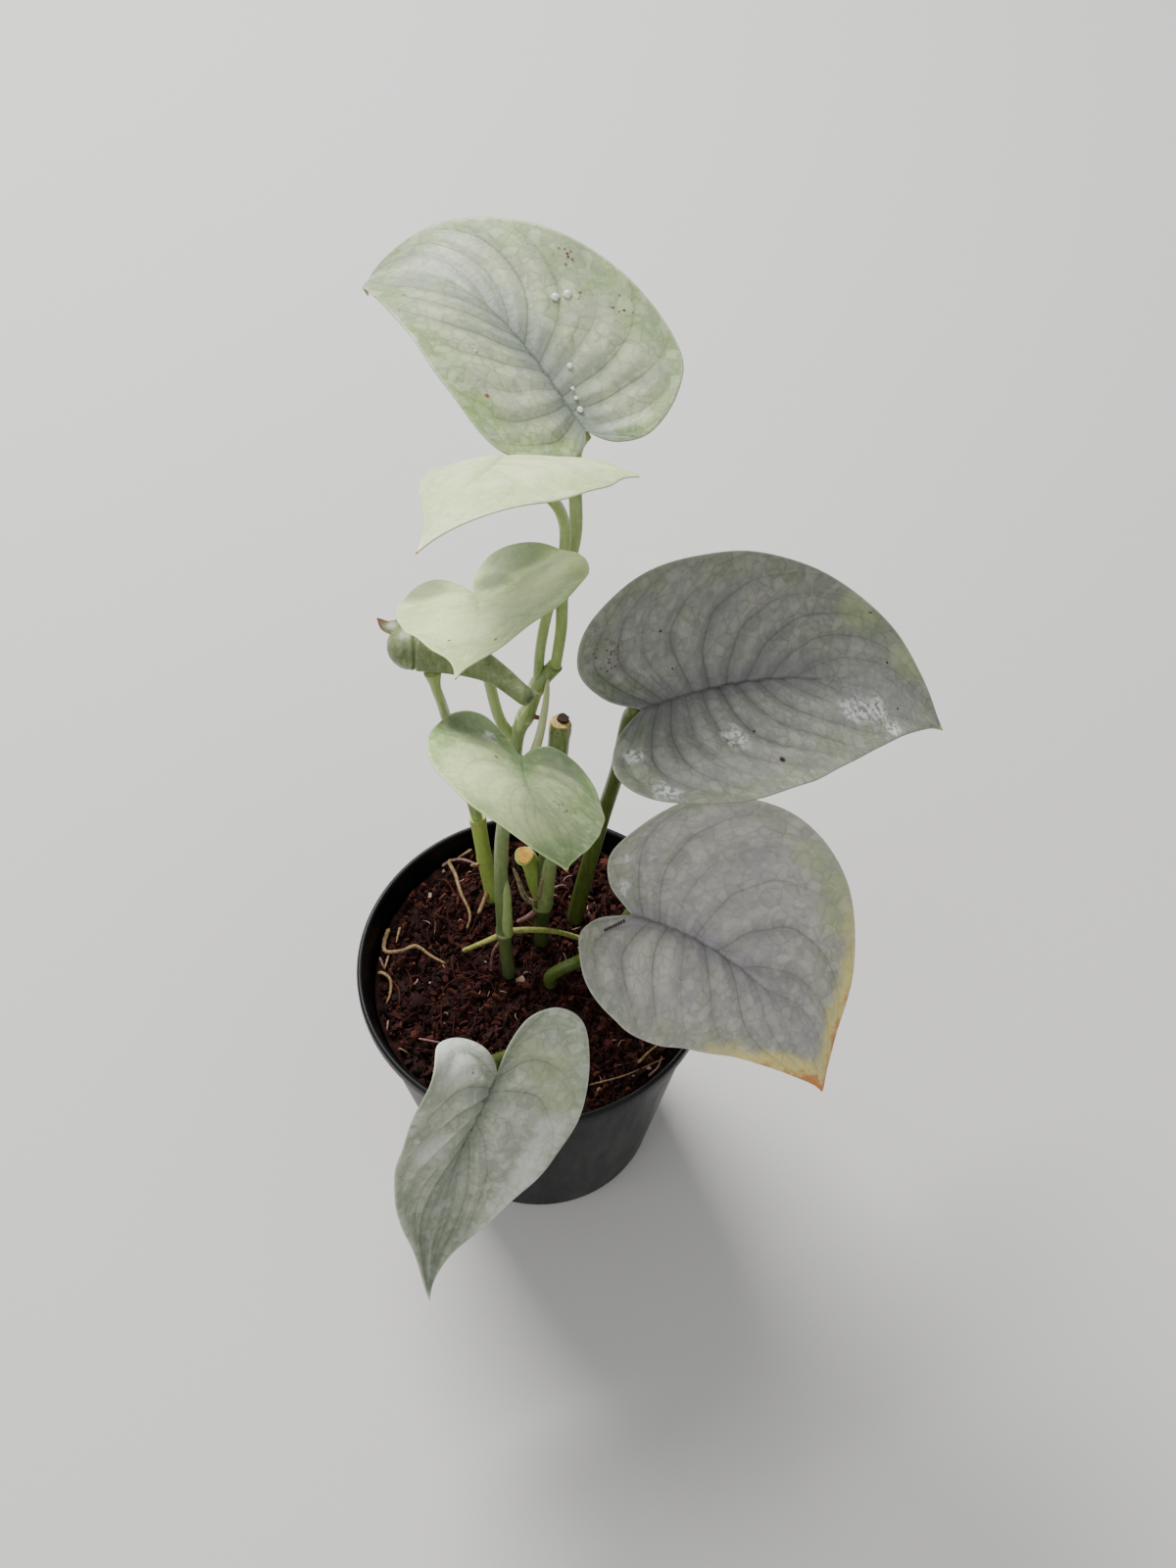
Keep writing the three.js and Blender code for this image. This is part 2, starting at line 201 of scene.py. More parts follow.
def tube(path: np.ndarray, radii: np.ndarray, sides: int, ahead: np.ndarray | None = None) -> Shell:
    """A round profile carried along a path, with both ends closed.

    Each ring lies square to the path. Its point at turn t is the path's point, plus the radius
    times the cosine of t one way and the sine of t the other.

    Args:
        path: the middle of each ring.
        radii: the radius of each ring, or of each of its points.
        sides: how many points a ring has.
        ahead: the path's direction at each ring, where the path itself doesn't give it.

    Returns:
        The tube, with its share of the length as an attribute.
    """
    rings = len(path)
    ahead = np.gradient(path, axis=0) if ahead is None else ahead
    ahead /= np.linalg.norm(ahead, axis=1, keepdims=True)
    reference = np.eye(3)[np.argmin(np.abs(ahead).max(axis=0))]
    side = np.cross(ahead, reference)
    side /= np.linalg.norm(side, axis=1, keepdims=True)
    rise = np.cross(side, ahead)
    turn = np.linspace(0, 2 * math.pi, sides, endpoint=False)
    reach = np.broadcast_to(np.asarray(radii, float).reshape(rings, -1), (rings, sides))[..., None]
    way = np.cos(turn)[None, :, None] * side[:, None] + np.sin(turn)[None, :, None] * rise[:, None]
    skin = path[:, None] + reach * way
    points = np.vstack([skin.reshape(-1, 3), path[:1], path[-1:]])
    share = np.append(np.repeat(np.linspace(0, 1, rings), sides), [0, 1])
    return Shell(points, capped_rings(rings, sides), {"share": share})


def lathe(profile: np.ndarray, sides: int) -> Shell:
    """A profile of radius and height, turned round the pot's axis, from one pole to the other.

    Args:
        profile: rows of radius and height. The first and last rows lie on the axis.
        sides: how many points each ring has.

    Returns:
        The closed surface, with its place along the profile as an attribute.
    """
    rings = profile[1:-1]
    turn = np.linspace(0, 2 * math.pi, sides, endpoint=False)
    skin = np.stack([
        rings[:, :1] * np.cos(turn), rings[:, :1] * np.sin(turn), np.repeat(rings[:, 1:], sides, axis=1),
    ], axis=-1)
    poles = np.array([[0, 0, profile[0, 1]], [0, 0, profile[-1, 1]]])
    points = np.vstack([skin.reshape(-1, 3), poles])
    share = np.append(np.repeat(np.linspace(0, 1, len(rings)), sides), [0, 1])
    faces = [turned_round(face) for face in capped_rings(len(rings), sides)]
    return Shell(points, faces, {"share": share})


def new_object(name: str, shell: Shell) -> bpy.types.Object:
    """Puts a shell into the scene.

    Args:
        name: the object's name.
        shell: its surface in millimetres.

    Returns:
        The new object, in metres.
    """
    mesh = bpy.data.meshes.new(name)
    mesh.from_pydata((shell.points * MM).tolist(), [], [row for face in shell.faces for row in face.tolist()])
    made = bpy.data.objects.new(name, mesh)
    bpy.context.scene.collection.objects.link(made)
    return made


def make_piece(
    name: str, shell: Shell, material: bpy.types.Material, nodes: tuple[str, ...] = (),
    flat: np.ndarray | None = None, sharp_angle: float | None = None,
) -> bpy.types.Object:
    """Makes a shell a piece that rides on the root body.

    Args:
        name: the piece's name.
        shell: its surface in millimetres.
        material: its finish.
        nodes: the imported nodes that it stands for.
        flat: a pattern's coordinates in millimetres, one row a point, for its UV map.
        sharp_angle: edges that turn by more degrees than this stay sharp.

    Returns:
        The new object.
    """
    piece = new_object(name, shell)
    mesh = piece.data
    mesh.polygons.foreach_set("use_smooth", np.ones(len(mesh.polygons), bool))
    for title, values in shell.attributes.items():
        mesh.attributes.new(title, "FLOAT", "POINT").data.foreach_set("value", values.astype(np.float32))
    if flat is not None:
        corners = np.empty(len(mesh.loops), np.int32)
        mesh.loops.foreach_get("vertex_index", corners)
        mesh.uv_layers.new(name="flat").data.foreach_set("uv", flat[corners].astype(np.float32).ravel())
    mesh.materials.append(material)
    if sharp_angle is not None:
        mesh.set_sharp_from_angle(angle=math.radians(sharp_angle))
    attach(piece, "root")
    if nodes:
        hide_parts(*nodes)
    return piece


# Finishes

# Settings that many nodes share. A Map Range node's inputs are a value, then the two ends of the
# range that it comes from, then the two ends of the range that it goes to. A Mix node's inputs are
# the mask and, as numbers 6 and 7, the colours below and above. Output number 2 is the mixed colour.
RGBA = {"data_type": "RGBA"}
SOFT = {"interpolation_type": "SMOOTHSTEP"}
TIMES = {"operation": "MULTIPLY"}
MIXED = 2


class Recipe:
    """A material's nodes, added one at a time, with the shader and the output in place."""

    def __init__(self, name: str) -> None:
        """Starts a material.

        Args:
            name: the material's name.
        """
        self.material = bpy.data.materials.new(name)
        self.material.use_nodes = True
        self.tree = self.material.node_tree
        self.shader = self.tree.nodes["Principled BSDF"]

    def add(self, kind: str, inputs: dict, out: int | str = 0, **settings: object) -> Socket:
        """Adds a node with its settings and links.

        Args:
            kind: the node's type, without its prefix.
            inputs: each input, by number or name, with its value or the socket that feeds it.
            out: the output wanted.
            settings: the node's own properties.

        Returns:
            The output.
        """
        made = self.tree.nodes.new("ShaderNode" + kind)
        for name, value in settings.items():
            setattr(made, name, value)
        self.feed(made, inputs)
        return made.outputs[out]

    def feed(self, node: bpy.types.Node, inputs: dict) -> None:
        """Sets or links inputs of a node.

        Args:
            node: the node.
            inputs: each input, by number or name, with its value or the socket that feeds it.
        """
        for name, value in inputs.items():
            if isinstance(value, Socket):
                self.tree.links.new(value, node.inputs[name])
            else:
                node.inputs[name].default_value = value

    def layers(self, ground: str, coats: list[tuple[str, Mask]]) -> Socket:
        """Lays colours over each other.

        Args:
            ground: the lowest colour, in hex.
            coats: each hex colour above it, with the mask that shows it.

        Returns:
            The colour on top.
        """
        top = linear(ground)
        for colour, mask in coats:
            top = self.add("Mix", {0: mask, 6: top, 7: linear(colour)}, MIXED, **RGBA)
        return top


class Mark(Enum):
    """What a mark on a blade is."""

    SPECKS = "small dark red specks"
    # Partly a dried whitish water stain and partly painted glints of light on a wet film
    DRIED = "a dried whitish water stain"
    WET = "a wet glossy patch"
    DARK = "a dark scratch"
    PALE = "a pale yellow-green patch"
    RUST = "one rusty spot"
    # Painted shade: a greyer patch where a lobe turns away from the light behind a fold
    GREY = "a greyer patch"
    # A painted highlight: a whiter patch where a blade catches the light
    BLOOM = "a whiter waxy patch"


@dataclass(frozen=True)
class SilverBlade:
    """The finish of a blade: waxy living leaf, silvered by air under its skin, veins left green.

    To the eye it is a satin silver with a pebbled mosaic, thin dark veins in soft valleys, a net
    between them, greener patches towards the margin, a greyer midrib and a plain green underside.
    The valleys' shade is painted, as vein colour in a soft band beside each vein. The greyer
    patches are painted shade and the whiter ones painted highlights, and the whitish water stains
    carry painted glints of light on a wet film.
    Greening is how strong the green patches are, veining how strong the veins are, and the midrib
    zone how far its grey reaches to each side.
    """

    silver: str
    shade: str
    green: str
    vein: str
    rim: str
    # The colour of the painted shade in the greyer patches
    grey: str = "#7d877c"
    under: str = "#7d9060"
    under_vein: str = "#9aa97a"
    yellow: str = "#e3d585"
    rust: str = "#c4763c"
    pale: str = "#aebb84"
    speck: str = "#5d2a22"
    spot: str = "#8a4a30"
    # The whitish colour of the dried stains and of the painted glints on them
    stain_and_glint: str = "#d6dad6"
    scratch: str = "#241c14"
    greening: float = 0.6
    veining: float = 0.6
    midrib_zone: float = 9.0
    roughness: float = 0.42
    seed: float = 0.0

    def mark_mask(self, recipe: Recipe, place: Socket, blade: "Blade", kind: Mark) -> Mask:
        """Where the marks of one kind lie: 1 inside each, falling to 0 at its radius.

        Args:
            recipe: the material.
            place: the point on the flat blade.
            blade: the blade with its marks.
            kind: the kind wanted.

        Returns:
            The mask, or 0 if the blade has no such mark.
        """
        mask: Mask = 0.0
        for across, along, radius in blade.marks.get(kind, ()):
            centre = (across, along * blade.length, 0)
            far = recipe.add("VectorMath", {0: place, 1: centre}, "Value", operation="DISTANCE")
            one = recipe.add("MapRange", {0: far, 1: radius, 2: radius * 0.35, 3: 0.0, 4: 1.0}, **SOFT)
            mask = recipe.add("Math", {0: mask, 1: one}, operation="MAXIMUM")
        return mask

    def material(self, blade: "Blade") -> bpy.types.Material:
        """The material for one blade.

        Args:
            blade: the blade that it is for.

        Returns:
            The material.
        """
        recipe = Recipe(f"silver leaf {blade.name}")
        flat = recipe.add("UVMap", {}, "UV", uv_map="flat")
        place = recipe.add("Mapping", {0: flat, 1: (self.seed, 1.7 * self.seed, 0)})
        phase, rate, rib, edge, vein, side, age = (
            recipe.add("Attribute", {}, "Fac", attribute_name=name)
            for name in ("phase", "rate", "rib", "edge", "vein", "upper", "age")
        )
        # Blotches about 12 mm, clouds about 34 mm, flecks 3.5 mm and water spatter 1.9 mm wide. The
        # grain, 1.1 mm wide, is drawn coarser than the real one so that it shows.
        blotch, cloud, flecks, spatter, grain = (
            recipe.add("TexNoise", {0: place, "Scale": 1 / width, "Detail": detail, "Roughness": roughness})
            for width, detail, roughness in (
                (12, 4.0, 0.62), (34, 3.0, 0.5), (3.5, 3.0, 0.7), (1.9, 4.0, 0.7), (1.1, 2.0, 0.7),
            )
        )
        # The mosaic's cells, 1.5 mm wide, are coarser than the real ones too. The net's cells, about
        # 3.4 mm wide, are bent a little by noise. Each cell has its own tone.
        wander = recipe.add("TexNoise", {0: place, "Scale": 1 / 5}, "Color")
        bent = recipe.add("VectorMath", {0: wander, 1: (2.2, 2.2, 0.0), 2: place}, operation="MULTIPLY_ADD")
        mosaic, cell = (
            recipe.add("SeparateColor", {0: recipe.add("TexVoronoi", {0: at, "Scale": 1 / width}, "Color")})
            for at, width in ((place, 1.5), (bent, 3.4))
        )
        border = recipe.add(
            "TexVoronoi", {0: bent, "Scale": 1 / 3.4}, "Distance", feature="DISTANCE_TO_EDGE",
        )
        # Distance in millimetres from the nearest arching vein, and from the nearest of the finer
        # ones, three to one
        triple = recipe.add("Math", {0: phase, 1: 3.0}, **TIMES)
        near_vein, near_fine = (
            recipe.add("Math", {0: count, 1: 0.5}, operation="PINGPONG") for count in (phase, triple)
        )
        off_vein, off_fine = (
            recipe.add("Math", {0: near, 1: rate}, operation="DIVIDE") for near in (near_vein, near_fine)
        )
        # Each arching vein has its own weight, and the net shows in patches
        number = recipe.add("Math", {0: phase}, operation="ROUND")
        luck = recipe.add("TexWhiteNoise", {"W": number}, 0, noise_dimensions="1D")
        weight = recipe.add("MapRange", {0: luck, 1: 0.0, 2: 1.0, 3: 0.35 * self.veining, 4: self.veining})
        weight = recipe.add("Math", {0: weight, 1: vein}, **TIMES)
        patchy = recipe.add("MapRange", {0: blotch, 1: 0.4, 2: 0.62, 3: 0.15, 4: self.veining}, **SOFT)
        faint = recipe.add("Math", {0: patchy, 1: vein}, **TIMES)
        # The green gathers near the margin
        near_edge = recipe.add("MapRange", {0: edge, 1: 13.0, 2: 0.5, 3: 0.0, 4: 0.3}, **SOFT)
        greener = recipe.add("Math", {0: cloud, 1: near_edge})
        where_green = recipe.add("MapRange", {0: greener, 1: 0.4, 2: 0.65}, **SOFT)
        # Age comes with a ragged edge
        ageing = age
        for source, low, high, depth in ((blotch, 0.25, 0.75, 0.22), (flecks, 0.3, 0.7, 0.13)):
            ragged = recipe.add("MapRange", {0: source, 1: low, 2: high, 3: -depth, 4: depth})
            ageing = recipe.add("Math", {0: ageing, 1: ragged})
        # Water marks have a ragged outline: the point wanders up to 3 mm before it is measured.
        # Specks are about 0.6 mm across.
        astray = recipe.add("VectorMath", {0: wander, 1: (6.0, 6.0, 0.0), 2: flat}, operation="MULTIPLY_ADD")
        astray = recipe.add("VectorMath", {0: astray, 1: (3.0, 3.0, 0.0)}, operation="SUBTRACT")
        marks = {
            kind: self.mark_mask(recipe, astray if kind in (Mark.DRIED, Mark.WET) else flat, blade, kind)
            for kind in Mark
        }
        spots = recipe.add("TexVoronoi", {0: place, "Scale": 1 / 1.3}, "Distance")
        # Every mask: what it is measured on, where it starts and where it is full, its strength, and
        # what it is kept within
        masks: dict[str | Mark, Mask] = dict(marks)
        for name, source, start, full, strength, within in (
            ("green patch", greener, 0.46, 0.76, self.greening, None),
            ("green fleck", flecks, 0.54, 0.7, 0.7 * self.greening, where_green),
            ("shade", blotch, 0.6, 0.36, 0.45, None),
            ("light cell", cell, 0.5, 1.0, 0.42, None),
            ("dark cell", cell, 0.4, 0.0, 0.25, None),
            ("light mosaic", mosaic, 0.6, 1.0, 0.3, None),
            ("dark mosaic", mosaic, 0.35, 0.0, 0.12, None),
            ("net", border, 0.08, 0.0, 0.52, patchy),
            ("halo", border, 0.3, 0.0, 0.28, patchy),
            # The valley row is painted shade: vein colour in a soft band beside each vein, where the valley
            # lies in shade
            ("valley", off_vein, 3.6, 0.0, 0.7, weight),
            ("vein", off_vein, 0.5, 0.1, 0.8, weight),
            ("fine vein", off_fine, 1.2, 0.2, 0.28, faint),
            ("midrib", rib, 0.7, 0.2, min(1.1 * self.veining, 0.8), vein),
            ("midrib zone", rib, self.midrib_zone, 0.0, min(2 * self.veining, 0.85), vein),
            ("rim", edge, 0.7, 0.2, 0.3, None),
            ("yellow", ageing, 0.16, 0.85, 0.95, None),
            ("rust", ageing, 0.78, 1.08, 0.9, None),
            ("specks", spots, 0.34, 0.22, 0.9, marks[Mark.SPECKS]),
            # The film row paints the whitish stains, and with them glints of light on a wet film
            ("stain_and_glint", spatter, 0.44, 0.54, 0.85, marks[Mark.DRIED]),
        ):
            masks[name] = recipe.add("MapRange", {0: source, 1: start, 2: full, 3: 0.0, 4: strength}, **SOFT)
            if within is not None:
                masks[name] = recipe.add("Math", {0: masks[name], 1: within}, **TIMES)
        # The greyer patches are painted shade and the whiter ones painted highlights; the pale patches are
        # the blade's own colour
        for kind, strength in ((Mark.PALE, 0.5), (Mark.GREY, 0.7), (Mark.BLOOM, 0.8)):
            masks[kind] = recipe.add("Math", {0: marks[kind], 1: strength}, **TIMES)
        # Among these, the greyer and whiter patches, the valleys and the film lay painted shade, painted
        # highlights and painted glints
        upper = recipe.layers(self.silver, [(colour, masks[name]) for colour, name in (
            (self.green, "green patch"), (self.shade, "shade"), (self.rim, "light cell"),
            (self.shade, "dark cell"), (self.rim, "light mosaic"), (self.vein, "dark mosaic"),
            (self.green, "green fleck"), (self.shade, "midrib zone"), (self.pale, Mark.PALE),
            (self.grey, Mark.GREY), (self.rim, Mark.BLOOM), (self.vein, "valley"),
            (self.vein, "fine vein"), (self.vein, "halo"), (self.yellow, "yellow"), (self.vein, "net"),
            (self.vein, "vein"), (self.vein, "midrib"), (self.rim, "rim"), (self.rust, "rust"),
            (self.speck, "specks"), (self.spot, Mark.RUST), (self.stain_and_glint, "stain_and_glint"),
            (self.scratch, Mark.DARK),
        )])
        lower = recipe.layers(self.under, [(colour, masks[name]) for colour, name in (
            (self.green, "shade"), (self.under_vein, "vein"), (self.under_vein, "midrib"),
            (self.yellow, "yellow"), (self.rust, "rust"),
        )])
        colour = recipe.add("Mix", {0: side, 6: lower, 7: upper}, MIXED, **RGBA)
        # The skin's roughness varies a little, and is near nothing where it is wet
        least, most = self.roughness - 0.07, self.roughness + 0.1
        uneven = recipe.add("MapRange", {0: grain, 1: 0.2, 2: 0.8, 3: least, 4: most})
        wet = recipe.add("MapRange", {0: spatter, 1: 0.4, 2: 0.52, 3: 0.2, 4: 1.0}, **SOFT)
        wet = recipe.add("Math", {0: wet, 1: marks[Mark.WET]}, **TIMES)
        rough = recipe.add("MapRange", {0: wet, 1: 0.0, 2: 1.0, 3: uneven, 4: 0.08})
        # The grain stands up, and the veins and the net lie in it
        height = grain
        for name in ("vein", "halo"):
            height = recipe.add("Math", {0: height, 1: masks[name]}, operation="SUBTRACT")
        normal = recipe.add("Bump", {"Height": height, "Distance": 0.14 * MM, "Strength": 0.8})
        recipe.feed(recipe.shader, {
            "Base Color": colour, "Roughness": rough, "IOR": 1.45, "Specular IOR Level": 0.45,
            "Normal": normal,
        })
        return recipe.material


@dataclass(frozen=True)
class GreenStalk:
    """The finish of a stem or stalk: smooth living skin, satin, streaked along its length.

    It is paler and yellower where light reaches it and mottled dark where it is old. On the rolled
    leaf the same dark is painted shade in its mouth and its groove. Rings at the nodes are a dry tan.
    """

    name: str
    green: str = "#75883f"
    dark: str = "#4d5f2c"
    pale: str = "#9aa863"
    ring: str = "#a99a63"
    mottle: float = 0.5
    roughness: float = 0.4

    def material(self) -> bpy.types.Material:
        """Makes the material.

        Returns:
            The material.
        """
        recipe = Recipe(self.name)
        here = recipe.add("TexCoord", {}, "Object")
        # Streaks 0.9 mm wide and 7.5 mm long, mottling about 2.6 mm wide
        drawn = recipe.add("Mapping", {0: here, 3: (1.0, 1.0, 0.12)})
        streak = recipe.add("TexNoise", {0: drawn, "Scale": 1 / (0.9 * MM), "Detail": 2.0})
        patch = recipe.add("TexNoise", {0: here, "Scale": 1 / (2.6 * MM), "Detail": 3.0, "Roughness": 0.65})
        node = recipe.add("Attribute", {}, "Fac", attribute_name="node")
        # This attribute darkens aged skin, and on the rolled leaf it is painted shade in the mouth and the
        # groove
        base = recipe.add("Attribute", {}, "Fac", attribute_name="old")
        streak_mask = recipe.add("MapRange", {0: streak, 1: 0.45, 2: 0.7, 3: 0.0, 4: 0.45}, **SOFT)
        dark_mask = recipe.add("MapRange", {0: patch, 1: 0.52, 2: 0.68, 3: 0.0, 4: self.mottle}, **SOFT)
        colour = recipe.layers(self.green, [
            (self.pale, streak_mask), (self.dark, dark_mask), (self.dark, base), (self.ring, node),
        ])
        normal = recipe.add("Bump", {"Height": streak, "Distance": 0.06 * MM, "Strength": 0.5})
        recipe.feed(recipe.shader, {
            "Base Color": colour, "Roughness": self.roughness, "IOR": 1.45, "Subsurface Weight": 0.08,
            "Subsurface Scale": 1.5 * MM, "Normal": normal,
        })
        return recipe.material


@dataclass(frozen=True)
class DrySkin:
    """The finish of dry plant parts, such as roots, papery sheaths and cut faces: matt and fibrous."""

    name: str
    light: str
    dark: str
    grain: float = 0.8
    roughness: float = 0.75

    def material(self) -> bpy.types.Material:
        """Makes the material.

        Returns:
            The material.
        """
        recipe = Recipe(self.name)
        here = recipe.add("TexCoord", {}, "Object")
        # Patches as wide as the grain, in millimetres, between the light and the dark tone
        scale = 1 / (self.grain * MM)
        patch = recipe.add("TexNoise", {0: here, "Scale": scale, "Detail": 4.0, "Roughness": 0.7})
        mask = recipe.add("MapRange", {0: patch, 1: 0.38, 2: 0.64, 3: 0.0, 4: 1.0}, **SOFT)
        normal = recipe.add("Bump", {"Height": patch, "Distance": 0.15 * MM, "Strength": 0.8})
        colour = recipe.layers(self.light, [(self.dark, mask)])
        recipe.feed(recipe.shader, {"Base Color": colour, "Roughness": self.roughness, "Normal": normal})
        return recipe.material


@dataclass(frozen=True)
class CoirMix:
    """The finish of the potting mix: moist coir and bark, dark red-brown, each chip its own shade."""

    wet: str = "#180a08"
    red: str = "#3f1d18"
    tan: str = "#613429"
    pale: str = "#a88f7b"

    def material(self) -> bpy.types.Material:
        """Makes the material.

        Returns:
            The material.
        """
        recipe = Recipe("moist coir and bark")
        here = recipe.add("TexCoord", {}, "Object")
        tone = recipe.add("Attribute", {}, "Fac", attribute_name="tone")
        # Fibres about 0.6 mm wide, and damp patches about 12 mm wide
        fibre = recipe.add("TexNoise", {0: here, "Scale": 1 / (0.6 * MM), "Detail": 4.0, "Roughness": 0.7})
        damp = recipe.add("TexNoise", {0: here, "Scale": 1 / (12 * MM), "Detail": 2.0})
        red_mask = recipe.add("MapRange", {0: tone, 1: 0.15, 2: 0.8, 3: 0.0, 4: 1.0}, **SOFT)
        tan_mask = recipe.add("MapRange", {0: tone, 1: 0.82, 2: 1.0, 3: 0.0, 4: 0.8}, **SOFT)
        fibre_mask = recipe.add("MapRange", {0: fibre, 1: 0.5, 2: 0.36, 3: 0.0, 4: 0.65}, **SOFT)
        pale_mask = recipe.add("MapRange", {0: tone, 1: 0.99, 2: 0.995, 3: 0.0, 4: 0.9}, **SOFT)
        colour = recipe.layers(self.wet, [
            (self.red, red_mask), (self.tan, tan_mask), (self.wet, fibre_mask), (self.pale, pale_mask),
        ])
        rough = recipe.add("MapRange", {0: damp, 1: 0.4, 2: 0.65, 3: 0.95, 4: 0.7}, **SOFT)
        normal = recipe.add("Bump", {"Height": fibre, "Distance": 0.3 * MM, "Strength": 0.9})
        recipe.feed(recipe.shader, {
            "Base Color": colour, "Roughness": rough, "Specular IOR Level": 0.14, "Normal": normal,
        })
        return recipe.material


@dataclass(frozen=True)
class BlackPolypropylene:
    """The finish of the nursery pot: thin moulded polypropylene, satin black, glossier on its lip."""

    black: str = "#0c0c0e"
    worn: str = "#1b1b1e"

    def material(self) -> bpy.types.Material:
        """Makes the material.

        Returns:
            The material.
        """
        recipe = Recipe("moulded black polypropylene")
        here = recipe.add("TexCoord", {}, "Object")
        # Moulded grain about 0.8 mm wide, drawn coarser than the real one, and handling marks about
        # 9 mm wide, drawn out along the height
        grain = recipe.add("TexNoise", {0: here, "Scale": 1 / (0.8 * MM), "Detail": 2.0})
        drawn = recipe.add("Mapping", {0: here, 3: (1.0, 1.0, 0.15)})
        rub = recipe.add("TexNoise", {0: drawn, "Scale": 1 / (9 * MM), "Detail": 5.0, "Roughness": 0.7})
        rubbed = recipe.add("MapRange", {0: rub, 1: 0.52, 2: 0.75, 3: 0.0, 4: 0.5}, **SOFT)
        rough = recipe.add("MapRange", {0: rub, 1: 0.3, 2: 0.7, 3: 0.32, 4: 0.5})
        normal = recipe.add("Bump", {"Height": grain, "Distance": 0.03 * MM, "Strength": 0.6})
        colour = recipe.layers(self.black, [(self.worn, rubbed)])
        recipe.feed(recipe.shader, {
            "Base Color": colour, "Roughness": rough, "IOR": 1.49, "Specular IOR Level": 0.2,
            "Normal": normal,
        })
        return recipe.material


@dataclass(frozen=True)
class PaintedBrightWater:
    """The finish of the drops: water, whitened as a painted highlight, letting part of the light through."""

    def material(self) -> bpy.types.Material:
        """Makes the material.

        Returns:
            The material.
        """
        recipe = Recipe("water with painted highlight")
        # Painted highlight: the drops are near white, and only part of the light passes through them
        recipe.feed(recipe.shader, {
            "Base Color": linear("#fdfefd"), "Roughness": 0.05, "IOR": 1.333, "Transmission Weight": 0.4,
        })
        return recipe.material


@dataclass(frozen=True)
class StudioPaper:
    """The finish of the floor: plain pale matt paper."""

    pale: str = "#cfcdca"

    def material(self) -> bpy.types.Material:
        """Makes the material.

        Returns:
            The material.
        """
        recipe = Recipe("pale studio paper")
        here = recipe.add("TexCoord", {}, "Object")
        # The paper's tooth, 1.5 mm wide, is drawn coarser than the real one so that it shows
        tooth = recipe.add("TexNoise", {0: here, "Scale": 1 / (1.5 * MM), "Detail": 2.0})
        normal = recipe.add("Bump", {"Height": tooth, "Distance": 0.02 * MM, "Strength": 0.3})
        recipe.feed(recipe.shader, {"Base Color": linear(self.pale), "Roughness": 0.9, "Normal": normal})
        return recipe.material


# Blades

# Each half of a blade's outline is a lobe, from the notch at the base round to the widest part,
# then a side, from there to the tip. Across is a share of the half width. Along is a share of the
# lobe's length in a lobe, and of the blade's length in a side.
LOBE_SHAPE = ((0, 0), (0.16, -0.62), (0.42, -1.0), (0.74, -0.72))
# A full lobe comes close to the midrib, and an upright one is rounder at its end
FULL_LOBE = ((0, 0), (0.045, -0.5), (0.3, -0.99), (0.7, -0.79))
UPRIGHT_LOBE = ((0, 0), (0.06, -0.5), (0.2, -0.9), (0.48, -1.03), (0.77, -0.74))
# A broad side is full up to its tip, and the other two are drawn out there
BROAD_SIDE = ((0.96, 0.04), (0.98, 0.26), (0.82, 0.5), (0.53, 0.73), (0.25, 0.875), (0.07, 0.955), (0, 1))
DRAWN_SIDE = ((0.96, 0.04), (0.99, 0.26), (0.86, 0.48), (0.55, 0.69), (0.24, 0.83), (0.09, 0.92), (0, 1))
POINTED_SIDE = ((1.05, 0.08), (0.95, 0.25), (0.84, 0.46), (0.54, 0.68), (0.22, 0.83), (0.08, 0.92), (0, 1))


def turned_about(axis: int, angle: float) -> np.ndarray:
    """The matrix of a turn about an axis: its cosine twice, its sine, and its sine below 0.

    Args:
        axis: 0, 1 or 2 for x, y or z.
        angle: how far, in radians.

    Returns:
        A 3 by 3 matrix.
    """
    first, second = (axis + 1) % 3, (axis + 2) % 3
    matrix = np.eye(3)
    matrix[first, first] = matrix[second, second] = math.cos(angle)
    matrix[second, first] = math.sin(angle)
    matrix[first, second] = -math.sin(angle)
    return matrix


def heading(arch: np.ndarray, sweep: np.ndarray) -> np.ndarray:
    """Unit vectors from straight ahead, turned sideways by the sweep and then down by the arch."""
    return np.stack([np.sin(sweep) * np.cos(arch), np.cos(sweep) * np.cos(arch), -np.sin(arch)], axis=-1)


